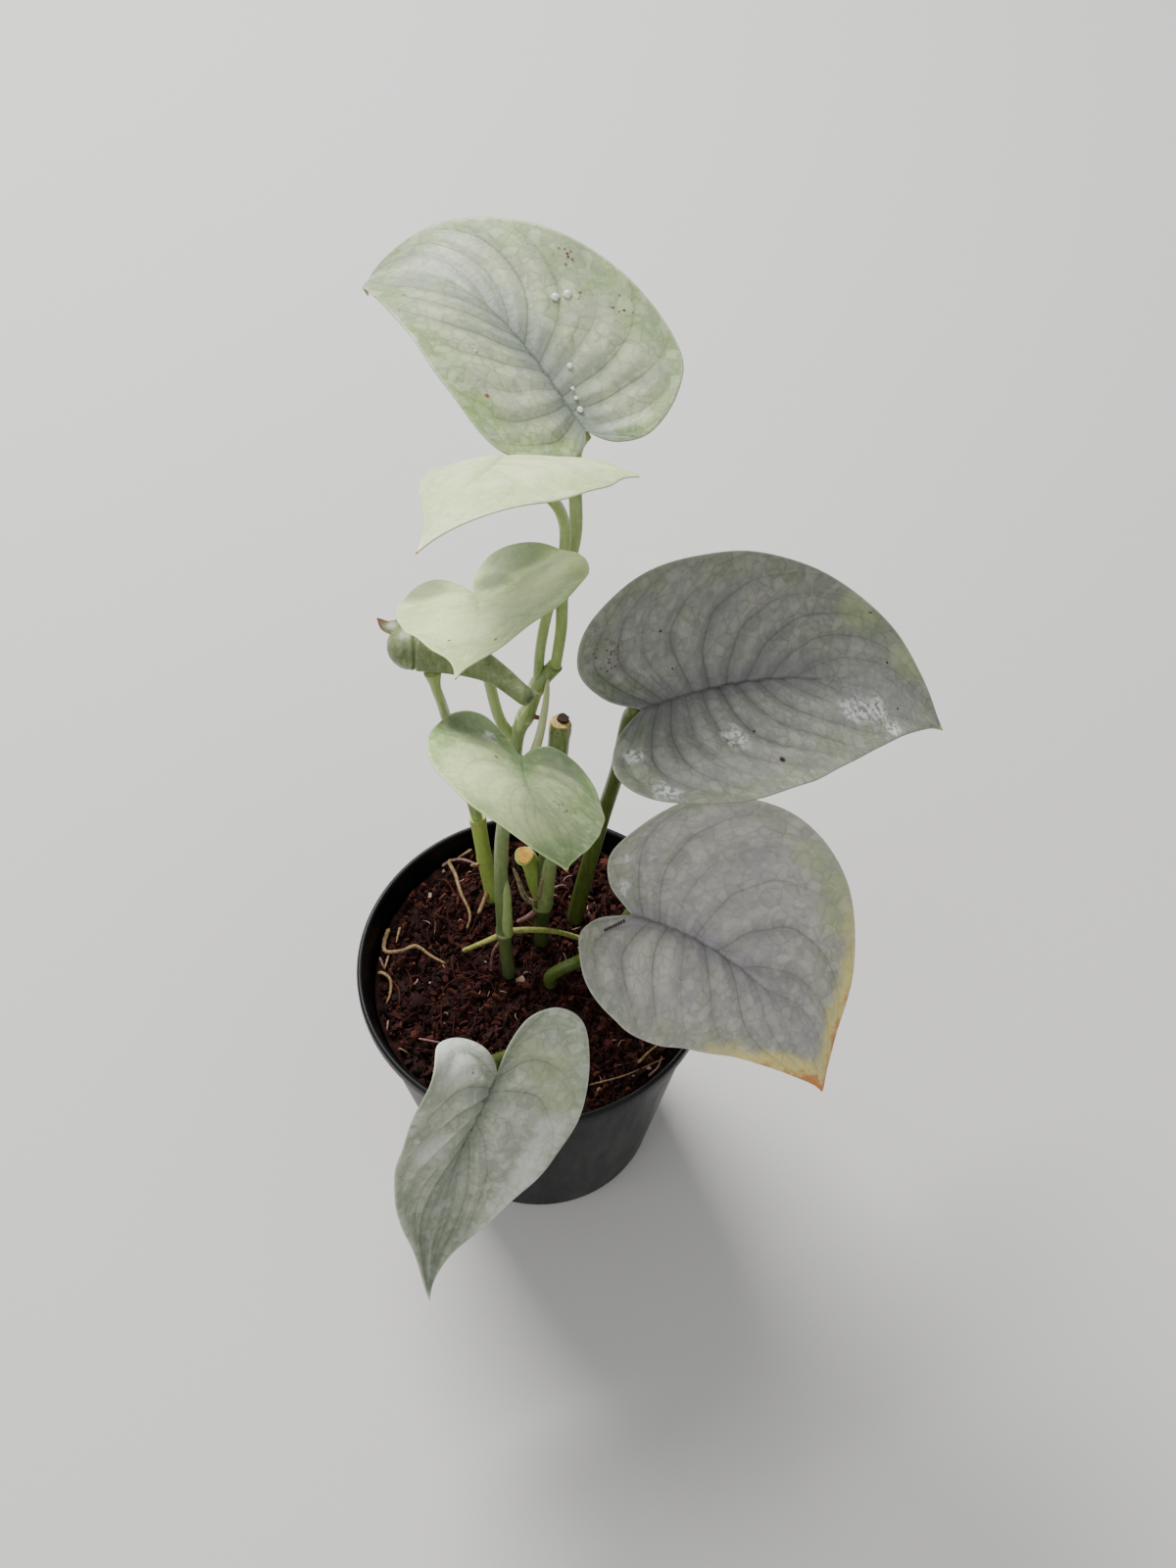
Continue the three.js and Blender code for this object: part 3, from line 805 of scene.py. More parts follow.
@dataclass(frozen=True)
class Blade:
    """A heart-shaped blade, bent along its midrib, folded at it and curled towards its margins.

    Sizes are in millimetres and angles in degrees. Where each half has its own, the right one's
    comes first.

    Attributes:
        name: which blade it is.
        base: where its stalk meets it.
        turn: its heading, its rise and its roll.
        length: from the base to the tip.
        widths: how wide the halves are.
        lobe_reach: how far their lobes reach behind the base.
        arch: how the midrib bends down, by the first figure times the share of the length and the
            second times its square.
        lobe_arch: how the lobes bend down behind the base, by this times the share.
        sweep: how the midrib bends sideways, in the way that the arch does.
        fold: how far each half is folded up at the midrib, and what both gain by the tip.
        curl: how far each half turns up from there to its margin, and what both gain by the tip.
        finish: its finish.
        age: where along it the yellow margin starts and is full, and its width, or 0 for none.
        marks: each kind's marks, by their place across, their share along and their radius.
        thickness: the blade's.
        crease: how far from the midrib the fold is rounded.
        half_sectors: how many steps half of the outline has.
        rings: how many rings lie between the hub and the margin.
        hub: the share of the length where the rings start.
        relief: how deep the valleys of the veins are.
        tip_hook: how much further the tip bends down.
        lobe_drop: how much further each lobe bends down, or up where it is below 0.
        lobes: the shapes of the lobes.
        sides: the shapes of the sides.
        wave: how high the ripple along the margin is.
        vein_sweep: how far forward the veins run.
        veins: how many veins a half has, with the last one or two past the tip.
        vein_bow: how far back the veins bow on their way.
        valley_width: how wide the valley of a vein is.
        midrib: the midrib's strength, as a share of the usual one.
        groove: how deep the midrib lies in the upper face.
        keel: how far it stands out of the lower face.
        pillow: how high the gentle swellings between the veins are.
    """

    name: str
    base: Triple
    turn: Triple
    length: float
    widths: Pair
    lobe_reach: Pair
    arch: Pair
    lobe_arch: float
    sweep: Pair
    fold: Triple
    curl: Triple
    finish: SilverBlade
    age: Triple = (0.2, 1.0, 0.0)
    marks: dict[Mark, Triples] = field(default_factory=dict)
    thickness: float = 0.56
    crease: float = 1.3
    half_sectors: int = 90
    rings: int = 44
    hub: float = 0.3
    relief: float = 0.45
    tip_hook: float = 0.0
    lobe_drop: Pair = (0.0, 0.0)
    lobes: tuple[Outline, Outline] = (LOBE_SHAPE, LOBE_SHAPE)
    sides: tuple[Outline, Outline] = (BROAD_SIDE, BROAD_SIDE)
    wave: float = 0.3
    vein_sweep: float = 1.7
    veins: float = 11.0
    vein_bow: float = 0.38
    valley_width: float = 2.6
    midrib: float = 1.0
    groove: float = 0.35
    keel: float = 0.75
    pillow: float = 0.4

    def outline(self) -> np.ndarray:
        """The flat outline: smooth curves through the shape's points, right half then left half.

        Returns:
            One point a row, from the notch round the right half to the tip and back.
        """
        halves = []
        sizes = zip(self.lobes, self.sides, (1, -1), self.widths, self.lobe_reach)
        for lobe_shape, shape, side, width, lobe in sizes:
            lobe_points = np.array(lobe_shape) * [side * width, lobe]
            points = np.vstack([lobe_points, np.array(shape) * [side * width, self.length]])
            places = np.linspace(0, len(points) - 1, self.half_sectors + 1)
            halves.append(catmull_rom(points, places))
        return np.vstack([halves[0], halves[1][-2:0:-1]])

    def flat_points(self) -> tuple[np.ndarray, np.ndarray]:
        """Points of the flat blade: a hub on the midrib, then rings that grow to the outline.

        Returns:
            The points, and how far out each is, from 0 at the hub to 1 at the margin.
        """
        hub = np.array([0, self.hub * self.length])
        steps = np.concatenate([np.linspace(0, 0.975, self.rings - 1)[1:], [0.99, 1.0]])
        rings = hub + steps[:, None, None] * (self.outline() - hub)
        out = np.append(0, np.repeat(steps, 2 * self.half_sectors))
        return np.vstack([hub, rings.reshape(-1, 2)]), out

    def midrib_angles(self, share: np.ndarray, on_left: np.ndarray) -> tuple[np.ndarray, np.ndarray]:
        """The midrib's angles at shares of the length, in radians.

        The lobes bend by the share behind the base. It is half of the share less the root of its
        square plus the ease squared, so that it fades smoothly to 0 in front of the base.

        Args:
            share: 0 at the base and 1 at the tip. It is below 0 in the lobes.
            on_left: whether each is in the left half, since each lobe bends by itself.

        Returns:
            The arch down and the sweep sideways.
        """
        ease = 0.06
        ahead = np.maximum(share, 0)
        behind = (share - np.sqrt(share ** 2 + ease ** 2)) / 2
        arch = self.arch[0] * ahead + self.arch[1] * ahead ** 2 + self.lobe_arch * behind
        drop = np.where(on_left, self.lobe_drop[1], self.lobe_drop[0])
        arch = arch + self.tip_hook * smooth_step(share, 0.9, 1.0) - drop * smooth_step(share, 0.0, -0.16)
        sweep = self.sweep[0] * ahead + self.sweep[1] * ahead ** 2
        return np.radians(arch), np.radians(sweep)

    def bend(self, flat: np.ndarray) -> np.ndarray:
        """Bends points of the flat blade into its real shape.

        The midrib's point is the sum of short steps along its direction. From there a point goes
        across along a circle's arc that starts at the fold's angle and turns by the curl. Close
        to the midrib the fold is rounded: the distance is the root of its square plus the crease
        squared, less the crease.

        Args:
            flat: rows of across and along, in millimetres.

        Returns:
            One point in space for each row.
        """
        share = flat[:, 1] / self.length
        slices = 24
        middles = share[:, None] * (np.arange(slices) + 0.5) / slices
        on_left = flat[:, 0] < 0
        steps = heading(*self.midrib_angles(middles, on_left[:, None]))
        point = steps.sum(axis=1) * flat[:, 1:] / slices
        arch, sweep = self.midrib_angles(share, on_left)
        ahead = heading(arch, sweep)
        across = np.stack([np.cos(sweep), -np.sin(sweep), np.zeros_like(sweep)], axis=-1)
        up = np.cross(across, ahead)
        along = np.clip(share, -0.3, 1)
        fold = np.radians(np.where(on_left, self.fold[1], self.fold[0]) + self.fold[2] * along)
        curl = np.radians(np.where(on_left, self.curl[1], self.curl[0]) + self.curl[2] * along)
        span = np.abs(flat[:, 0])
        half_turn = curl * span / np.where(on_left, self.widths[1], self.widths[0]) / 2
        chord = span * np.sinc(half_turn / math.pi)
        rounded = (np.sqrt(span ** 2 + self.crease ** 2) - self.crease) / np.maximum(span, 1e-6)
        point = point + (np.sign(flat[:, 0]) * chord * np.cos(fold + half_turn))[:, None] * across
        point = point + (chord * rounded * np.sin(fold + half_turn))[:, None] * up
        return point @ self.turning().T + self.base

    def turning(self) -> np.ndarray:
        """The rotation that points the blade: roll, then rise, then heading."""
        round_z, rise, roll = np.radians(self.turn)
        return turned_about(2, round_z) @ turned_about(0, rise) @ turned_about(1, roll)

    def normals(self, flat: np.ndarray) -> np.ndarray:
        """The surface's direction: the slope across crossed with the slope along.

        Args:
            flat: rows of across and along.

        Returns:
            One unit vector for each row.
        """
        step = 0.3
        across = self.bend(flat + [step, 0]) - self.bend(flat - [step, 0])
        along = self.bend(flat + [0, step]) - self.bend(flat - [0, step])
        way = np.cross(across, along)
        return way / np.linalg.norm(way, axis=1, keepdims=True)

    def across_share(self, flat: np.ndarray) -> np.ndarray:
        """How far points lie from the midrib, as a share of the way to the margin beside them.

        Args:
            flat: rows of across and along.

        Returns:
            The share for each row.
        """
        outline = self.outline()
        tip = self.half_sectors
        halves = (outline[:tip + 1], np.vstack([outline[:1], outline[:tip - 1:-1]]))
        sides = (half[np.argmin(half[:, 1]):] for half in halves)
        right, left = (np.interp(flat[:, 1], side[:, 1], np.abs(side[:, 0])) for side in sides)
        width = np.where(flat[:, 0] < 0, left, right)
        return np.minimum(np.abs(flat[:, 0]) / np.maximum(width, 1.5), 1.2)

    def vein_start(self, flat: np.ndarray) -> np.ndarray:
        """Where the vein through a point leaves the midrib, as a share of the length.

        A vein that starts at share s lies, with a the share across, at s times 1 plus the sweep
        times a, less the bow plus 0.08 times a, plus the bow times its cube. So the first veins go
        back into the lobe and round it, and all of them sweep forward to the margin. Behind the
        first one they fan out from the base.

        Args:
            flat: rows of across and along.

        Returns:
            The share for each row, below 0 in the fan.
        """
        across = self.across_share(flat)
        reach = flat[:, 1] / self.length + (self.vein_bow + 0.08) * across - self.vein_bow * across ** 3
        return np.where(reach >= 0, reach / (1 + self.vein_sweep * across), reach / (3 * across + 0.08))

    def vein_phase(self, flat: np.ndarray) -> np.ndarray:
        """Counts the arching veins: a whole number lies on a vein.

        The veins are closest at the base. Their count is the number of veins times 1 less the
        exponential of the start over the spread, and behind the first one it is the number times
        the start over the spread. The left side's lie between the right side's, and two slow sines
        make them wander.

        Args:
            flat: rows of across and along.

        Returns:
            The count for each row.
        """
        spread = 0.52
        start = self.vein_start(flat)
        count = self.veins * np.where(start >= 0, 1 - np.exp(-np.maximum(start, 0) / spread), start / spread)
        wander = 0.10 * np.sin(0.13 * flat[:, 0] + 0.10 * flat[:, 1] + self.finish.seed)
        wander = wander + 0.025 * np.sin(0.4 * flat[:, 0] - 0.3 * flat[:, 1] + 2 * self.finish.seed)
        return count + 0.5 * (flat[:, 0] < 0) + wander + 0.45

    def vein_rate(self, flat: np.ndarray, phase: np.ndarray) -> np.ndarray:
        """How many veins there are to a millimetre: the length of the slope of their count.

        Args:
            flat: rows of across and along.
            phase: the count for each row.

        Returns:
            The rate for each row, kept within what can be drawn.
        """
        step = 0.2
        outward = np.where(flat[:, :1] < 0, -1, 1) * [step, 0]
        across = (self.vein_phase(flat + outward) - phase) / step
        along = (self.vein_phase(flat + [0, step]) - self.vein_phase(flat - [0, step])) / (2 * step)
        return np.clip(np.hypot(across, along), 0.02, 0.6)

    def edge_distance(self, out: np.ndarray) -> np.ndarray:
        """How far points lie from the margin.

        It is what is left of the spoke from the hub, times the sine of the angle at which the spoke
        meets the margin.

        Args:
            out: how far out each point is, from 0 at the hub to 1 at the margin.

        Returns:
            The distance for each.
        """
        outline = self.outline()
        spoke = outline - [0, self.hub * self.length]
        reach = np.linalg.norm(spoke, axis=1)
        spoke = spoke / reach[:, None]
        tangent = np.roll(outline, -1, axis=0) - np.roll(outline, 1, axis=0)
        tangent /= np.linalg.norm(tangent, axis=1, keepdims=True)
        sine = np.abs(spoke[:, 0] * tangent[:, 1] - spoke[:, 1] * tangent[:, 0])
        depth = np.tile(reach * np.maximum(sine, 0.25), len(out) // len(outline))
        return (1 - out) * np.append(reach.mean(), depth)

    def ageing(self, share: np.ndarray, edge: np.ndarray) -> np.ndarray:
        """How aged the blade is: 0 where it lives, and past 1 where it has turned brown.

        Only the very tip is brown, by a smooth step. An old margin is a smooth step of the distance
        from the edge, and it widens and deepens along the blade. The brown tip then keeps to it.

        Args:
            share: the share of the length of each point.
            edge: its distance from the margin.

        Returns:
            The age of each.
        """
        start, full, width = self.age
        if not width:
            return 1.3 * smooth_step(share, 0.972, 1.0)
        margin = smooth_step(edge / width, 0.3 + share, 0.0) * smooth_step(share, start, full)
        return np.maximum(margin, 1.3 * smooth_step(share, 0.8, 1.0) * smooth_step(edge, 5, 0.5))

    def faces(self, size: int) -> list[np.ndarray]:
        """The faces of both sheets, each a fan at the hub and walls between rings, and of the margin.

        Args:
            size: how many points a sheet has.

        Returns:
            The upper fan and walls, the lower fan and walls, and the band that joins them.
        """
        count = 2 * self.half_sectors
        spokes = np.arange(count)
        following = (spokes + 1) % count
        fan = np.stack([np.zeros(count, int), 1 + spokes, 1 + following], axis=1)
        sheet = 1 + ring_walls((size - 1) // count, count)
        last = size - count
        band = last + np.stack([spokes, spokes + size, following + size, following], axis=1)
        return [fan, sheet, fan[:, ::-1] + size, sheet[:, ::-1] + size, band]

    def shell(self) -> tuple[Shell, np.ndarray]:
        """The blade with its thickness, veins sunk in its upper face and raised on its lower face.

        The valley of a vein is a bell curve of the distance from it. The midrib is a narrower one,
        and the lower face has a keel there. Slow sines make the pillow between the veins and the
        ripple at the margin. Both faces meet at a thin rounded margin.

        Returns:
            The closed shell and the flat coordinates of its points.
        """
        flat, out = self.flat_points()
        share, rib = flat[:, 1] / self.length, np.abs(flat[:, 0])
        phase, start = self.vein_phase(flat), self.vein_start(flat)
        rate = self.vein_rate(flat, phase)
        off_vein = np.abs(phase - np.round(phase)) / rate
        vein = smooth_step(start, 0.8, 0.3) * (1 - 0.7 * smooth_step(self.across_share(flat), 0.4, 1.0))
        vein = vein * smooth_step(start, -0.5, 0.0)
        edge = self.edge_distance(out)
        inside = smooth_step(edge, 0.5, 5)
        slender = smooth_step(share, 1.02, 0.2)
        seed = self.finish.seed
        round_hub = np.arctan2(flat[:, 1] - self.hub * self.length, flat[:, 0])
        pillow = self.pillow * np.sin(0.21 * flat[:, 0] + seed) * np.sin(0.17 * flat[:, 1]) * inside
        ripple = self.wave * np.sin(9 * round_hub + seed) * out ** 6
        valley = self.relief * (0.15 + vein) * np.exp(-(off_vein / self.valley_width) ** 2) * inside
        groove = self.groove * self.midrib * np.exp(-(rib / 0.9) ** 2) * slender
        keel = self.keel * self.midrib * np.exp(-rib ** 2) * slender
        keel = (keel + 0.12 * np.exp(-(off_vein / 0.9) ** 2)) * inside
        half = 0.5 * self.thickness * np.where(out > 0.995, 0.35, np.where(out > 0.98, 0.85, 1.0))
        lift = pillow + ripple - valley
        middle, normal = self.bend(flat), self.normals(flat)
        top = middle + normal * (lift + half - groove)[:, None]
        bottom = middle + normal * (lift - half - keel)[:, None]
        size = len(flat)
        single = {
            "phase": phase, "rate": rate, "rib": rib, "edge": edge, "vein": vein,
            "age": self.ageing(share, edge),
        }
        attributes = {title: np.tile(values, 2) for title, values in single.items()}
        attributes["upper"] = np.repeat([1.0, 0.0], size)
        return Shell(np.vstack([top, bottom]), self.faces(size), attributes), np.tile(flat, (2, 1))

    def build(self) -> Pieces:
        """Makes and dresses the blade.

        Returns:
            The piece.
        """
        shell, flat = self.shell()
        material = self.finish.material(self)
        return [make_piece(f"blade_{self.name}", shell, material, (f"leaf_{self.name}",), flat)]

    def beneath(self, back: float, down: float) -> Triple:
        """The point that far behind and below the base, where the stalk comes up."""
        return tuple(self.turning() @ np.array([0, -back, -down]) + self.base)


BLADES: tuple[Blade, ...] = (
    Blade(
        "top", base=(15, 56.5, 256), turn=(35, 26, 21), length=85.5, widths=(32.5, 34),
        lobe_reach=(11, 7), arch=(-11, 99), lobe_arch=-138, sweep=(-9, -16),
        fold=(30, 15, -15), curl=(25, -15, 2),
        finish=SilverBlade(
            silver="#b9c19c", shade="#8b8e8d", green="#8faa60", vein="#58654f", rim="#cfd8b4",
            greening=0.8, veining=0.58, midrib_zone=11, seed=3.1,
        ),
        marks={
            Mark.SPECKS: (
                (23.4, 0.43, 3.6), (25.4, 0.24, 4.8), (-11.1, 0.67, 3.2), (-20.3, 0.64, 2.6),
                (19, 0.33, 2.0), (-17, 0.75, 2.4),
            ),
            Mark.RUST: ((-24.4, 0.2, 1.0),),
            Mark.PALE: ((27, 0.5, 4.0),),
        },
        tip_hook=45, vein_sweep=2.0, veins=12.5, vein_bow=0.14, relief=0.5,
    ),
    Blade(
        "pale", base=(-3, 29.5, 275), turn=(177, 50, -2), length=66, widths=(20, 30),
        lobe_reach=(13, 13), arch=(36, 14), lobe_arch=38, sweep=(18, 18),
        fold=(-7, 13, -17), curl=(-25, -31, -8),
        finish=SilverBlade(
            silver="#eef4be", shade="#d6e2a4", green="#b3ce7c", vein="#9cb473", rim="#eff5cb",
            under="#a0b484", greening=0.6, veining=0.28, midrib_zone=5, seed=8.4,
        ),
        marks={Mark.SPECKS: ((-22, -0.02, 1.6),), Mark.RUST: ((-31, 0.07, 1.6),)},
        crease=5.0, relief=0.25, sides=(DRAWN_SIDE, POINTED_SIDE), wave=0.4,
    ),
    Blade(
        "folded", base=(-12, 14, 245), turn=(192, 29, 3), length=52.5, widths=(19.5, 29),
        lobe_reach=(11, 14.5), arch=(-16, 21), lobe_arch=9, sweep=(22, 4),
        fold=(15, 28, 12), curl=(-24, -28, -5),
        finish=SilverBlade(
            silver="#e3efae", shade="#bacb90", green="#9ebb6f", vein="#6f8760", rim="#edf8b8",
            grey="#5e6a52", greening=0.5, veining=0.1, midrib_zone=3, seed=12.9,
        ),
        marks={
            Mark.DARK: ((-7, 0.7, 0.6), (6, 0.62, 0.6)),
            # Painted shade on the lobes behind the fold, and painted highlights where the blade faces the
            # light
            Mark.GREY: ((-13, -0.17, 12.0), (-6, -0.05, 7.0), (12, -0.14, 11.0)),
            Mark.BLOOM: ((-24, 0.14, 9.0), (-16, 0.24, 11.0), (-27, -0.02, 6.0), (4, 0.45, 14.0)),
        },
        crease=14.0, relief=0.1, lobe_drop=(-4.0, -18.0), tip_hook=18, midrib=0.05,
        lobes=(LOBE_SHAPE, FULL_LOBE), sides=(DRAWN_SIDE, DRAWN_SIDE),
    ),
    Blade(
        "heart", base=(-2, 10.3, 182), turn=(-174, 28, -24), length=54, widths=(27, 24.5),
        lobe_reach=(13, 10.5), arch=(-6, 17), lobe_arch=-5, sweep=(-18, -3),
        fold=(13, -1, -6), curl=(-28, -19, -5),
        finish=SilverBlade(
            silver="#dce9aa", shade="#93ae79", green="#8fb068", vein="#5b714e", rim="#eaf8b4",
            grey="#6a765f", greening=0.85, veining=0.26, midrib_zone=8, seed=17.3,
        ),
        marks={
            Mark.SPECKS: ((-7.5, 0.43, 4.4), (1.5, 0.3, 1.2)),
            Mark.WET: ((10, -0.08, 4.5), (4, -0.1, 3.5)),
            Mark.RUST: ((8, 0.12, 0.8),),
            # Painted shade on both lobes
            Mark.GREY: ((14, -0.12, 13.0), (-12, -0.12, 11.0)),
            # A whitish stain with painted glints of light on a wet film
            Mark.DRIED: ((9, -0.1, 3.0),),
            # Painted highlights on the body
            Mark.BLOOM: ((13, 0.4, 15.0), (8, 0.68, 11.0)),
        },
        crease=4.0, relief=0.3, lobe_drop=(-10.0, -10.0), vein_sweep=4.0,
    ),
    Blade(
        "dark", base=(29.5, 23.5, 185), turn=(-56, -14, 33), length=106, widths=(40, 39),
        lobe_reach=(19.5, 17), arch=(2, -2), lobe_arch=-7, sweep=(15, 39),
        fold=(25, 12, -9), curl=(20, 36, 2),
        finish=SilverBlade(
            silver="#9b9b91", shade="#7e7c7f", green="#7f9062", vein="#42473c", rim="#b0b0a3",
            greening=0.5, veining=0.46, midrib_zone=9, seed=21.7,
        ),
        marks={
            Mark.PALE: ((-22, 0.66, 9.0), (-13, 0.83, 8.0)),
            Mark.SPECKS: ((-17, -0.07, 7.5), (-26.7, -0.1, 1.8), (4, 0.39, 1.6), (-21.7, 0.7, 3.4)),
            Mark.DARK: (
                (-19, 0.1, 0.6), (-8, 0.12, 0.5), (16, 0.28, 0.6), (-9, 0.77, 0.5), (3, 0.83, 0.5),
                (27.7, 0.3, 1.4),
            ),
            # Whitish stains with painted glints of light on a wet film
            Mark.DRIED: (
                (7.9, 0.7, 6.5), (10.9, 0.81, 4.5), (9.9, 0.645, 5.5), (6.1, 0.755, 5.5), (17, 0.21, 5.5),
                (27, -0.1, 5.0), (12, -0.1, 3.2),
            ),
            Mark.WET: (
                (14.8, -0.09, 6.0), (26, -0.1, 6.0), (-6, -0.04, 4.0), (17, 0.22, 6.0), (6.5, 0.70, 7.0),
            ),
        },
        relief=0.9, tip_hook=12, vein_sweep=1.9, veins=14.5,
    ),
    Blade(
        "yellowing", base=(27.5, -12.5, 140), turn=(-94, -21, 25), length=84.5, widths=(32.5, 47.5),
        lobe_reach=(18, 16.5), arch=(10, 17), lobe_arch=-80, sweep=(48, 4),
        fold=(29, 20, -56), curl=(-45, 54, 1),
        finish=SilverBlade(
            silver="#b7b4ac", shade="#969298", green="#9aa77b", vein="#5a5a51", rim="#d0cdbf",
            greening=0.5, veining=0.42, midrib_zone=7, seed=26.2,
        ),
        age=(0.22, 0.92, 10.0),
        marks={
            Mark.DARK: tuple(
                (7.0 - 4.2 * run, -0.089 + 0.064 * run, 0.65)
                for run in (0, 0.12, 0.25, 0.37, 0.5, 0.62, 0.75, 0.87, 1)
            ),
            Mark.SPECKS: ((4.5, 0.23, 1.6),),
            # A painted highlight on the lobe
            Mark.BLOOM: ((12, 0.1, 13.0),),
            Mark.WET: ((-5.5, -0.04, 4.0), (-11, -0.13, 4.0), (-18.5, -0.08, 4.0)),
            # Whitish stains with painted glints of light on a wet film
            Mark.DRIED: ((-6, -0.05, 3.2), (-17, -0.1, 3.0)),
            Mark.PALE: ((-30, 0.56, 8.0), (-38, 0.38, 7.0), (-36, 0.5, 7.0)),
        },
        tip_hook=10, vein_sweep=2.4, relief=0.9,
    ),
    Blade(
        "lowest", base=(-9, -50.5, 120), turn=(156, -58, -56), length=76, widths=(26.5, 29.5),
        lobe_reach=(12.5, 20), arch=(67, -111), lobe_arch=10, sweep=(14, 0),
        fold=(9, 16, 2), curl=(-7, -2, 2),
        finish=SilverBlade(
            silver="#bcc1ab", shade="#808779", green="#859b60", vein="#4a5843", rim="#dadcce",
            greening=0.28, veining=0.4, midrib_zone=6, seed=33.8,
        ),
        marks={
            Mark.SPECKS: ((10, -0.02, 2.0), (21.9, 0.42, 1.4)),
            # Whitish stains with painted glints of light on a wet film
            Mark.DRIED: ((15, -0.1, 7.0), (-20, 0.42, 3.0)),
            # Painted highlights: a band along one margin, and patches on a lobe and the body
            Mark.BLOOM: (
                *((-22.5 + 25 * run ** 2, 0.24 + run, 6.5) for run in (0, 0.08, 0.16, 0.24, 0.32, 0.4, 0.5)),
                (13, -0.1, 13.0), (14, 0.32, 9.0),
            ),
            Mark.WET: tuple((-22.5 + 25 * run ** 2, 0.28 + run, 6.0) for run in (0, 0.15, 0.3, 0.45)),
            Mark.PALE: ((-15, -0.02, 10.0), (-21, 0.12, 8.0), (-8, -0.08, 7.0)),
        },
        relief=1.5, tip_hook=-8, lobe_drop=(88.0, -4.0), lobes=(LOBE_SHAPE, UPRIGHT_LOBE),
        sides=(DRAWN_SIDE, DRAWN_SIDE), crease=2.5, vein_sweep=4.0,
    ),
)


@dataclass(frozen=True)
class RolledLeaf:
    """The youngest blade, still rolled up: a bulb, a tube of rolled lobes, and a hooked brown tip.

    Attributes:
        middle: points that the roll's middle line goes through.
        radii: the radius at each.
        mouth_depth: how far the mouth at the near end is sunk.
        mouth_share: the near end's radius, as a share of the full one.
        mouth_reach: how far from the end it is full.
        shoulder: the share of the length where the far end starts to round off.
        shoulder_radius: the radius there.
        hook: points that the hook's middle line goes through.
        hook_radii: half of the hook's width at each.
        overlap: how far the outer margin lies over the inner one.
        groove_at: the share of the length where the groove is.
        groove: how deep and, on each side, how wide the groove is.
        sides: how many points a ring has.
        rings: how many rings the roll has.
        lining: how many more line its mouth.
        finish: its finish.
    """

    middle: Triples = (
        (0.5, 16.4, 199.0), (-3.7, 20.4, 199.2), (-8.5, 24.3, 200.2), (-14.6, 27.2, 201.5),
        (-22.6, 29.4, 202.7), (-29.0, 30.2, 203.3), (-33.6, 30.0, 203.3), (-36.9, 29.6, 203.0),
    )
    radii: tuple[float, ...] = (2.5, 2.75, 3.3, 4.4, 5.7, 6.3, 4.8, 0.4)
    mouth_depth: float = 0.9
    mouth_share: float = 0.62
    mouth_reach: float = 1.8
    shoulder: float = 0.86
    shoulder_radius: float = 5.859
    hook: Triples = (
        (-31.0, 32.6, 205.4), (-34.0, 33.9, 206.6), (-37.0, 34.4, 206.9), (-39.4, 36.2, 208.0),
    )
    hook_radii: tuple[float, ...] = (3.6, 3.0, 1.9, 0.2)
    overlap: float = 0.55
    groove_at: float = 0.82
    groove: float = 0.5
    sides: int = 64
    rings: int = 110
    lining: int = 7
    finish: GreenStalk = GreenStalk(
        "rolled young leaf", green="#6f7a50", dark="#44552c", pale="#929a74", ring="#5f3f22", mottle=0.5,
    )

    def skin(self, length: float) -> tuple[np.ndarray, np.ndarray]:
        """The roll's radius on a grid of rings and turns.

        The section is a spiral: the radius grows by the overlap in one turn and steps back where
        the outer margin lies over the inner one. A sine of six folds to a turn lies on it. A bell
        curve makes the groove. Both ends round off as the root of 1 less a square.

        Args:
            length: the middle line's length.

        Returns:
            The radius, one row a ring, and the groove's bell curve along the roll.
        """
        places = np.linspace(0, len(self.middle) - 1, 200)
        share = np.linspace(0, 1, self.rings)
        known = np.interp(share, run_along(np.array(self.middle), places) / length, places)
        radius = catmull_rom(np.array(self.radii)[:, None], known)[:, 0]
        past = ((share - self.shoulder) / (1 - self.shoulder)).clip(0)
        rounded = self.shoulder_radius * np.sqrt(np.clip(1 - past ** 2, 0.0004, 1))
        radius = np.where(share > self.shoulder, rounded, radius)
        groove = np.exp(-((share - self.groove_at) * length / self.groove) ** 2)
        turn = np.linspace(0, 1, self.sides, endpoint=False)
        slim = np.minimum(1, radius / 3)[:, None]
        spiral = self.overlap * (turn - 0.5) * slim
        folds = 0.10 * np.sin(2 * math.pi * 6 * turn + 9 * share[:, None]) * slim
        from_end = np.clip(1 - share * length / self.mouth_reach, 0, 1)
        near_end = self.mouth_share + (1 - self.mouth_share) * np.sqrt(1 - from_end ** 2)
        skin = radius[:, None] + spiral - self.groove * groove[:, None] + folds
        return skin * near_end[:, None], groove

    def roll(self) -> Shell:
        """The roll: its skin carried along its middle line, after a lining that closes its mouth.

        Returns:
            The closed shell, with the painted shade in its mouth and its groove as an attribute.
        """
        path, length = even_path(np.array(self.middle), self.rings)
        skin, groove = self.skin(length)
        ways = np.gradient(path, axis=0)
        inward = np.linspace(self.mouth_depth, 0, self.lining)[:, None]
        mouth = path[0] + ways[0] / np.linalg.norm(ways[0]) * inward
        lining = skin[:1] * np.linspace(0.12, 0.9, self.lining)[:, None]
        body = tube(
            np.vstack([mouth, path]), np.vstack([lining, skin]), self.sides,
            np.vstack([np.repeat(ways[:1], self.lining, axis=0), ways]),
        )
        # Painted shade: the groove and the mouth darken where shade falls in them
        shade = 0.85 * groove + 0.35 * np.exp(-np.linspace(0, 1, self.rings) * length / 0.6)
        dark = np.append(np.linspace(0.95, 0.35, self.lining), shade)
        body.attributes = {
            "node": np.zeros(len(body.points)), "old": np.append(np.repeat(dark, self.sides), [0.9, 0.0]),
        }
        return body

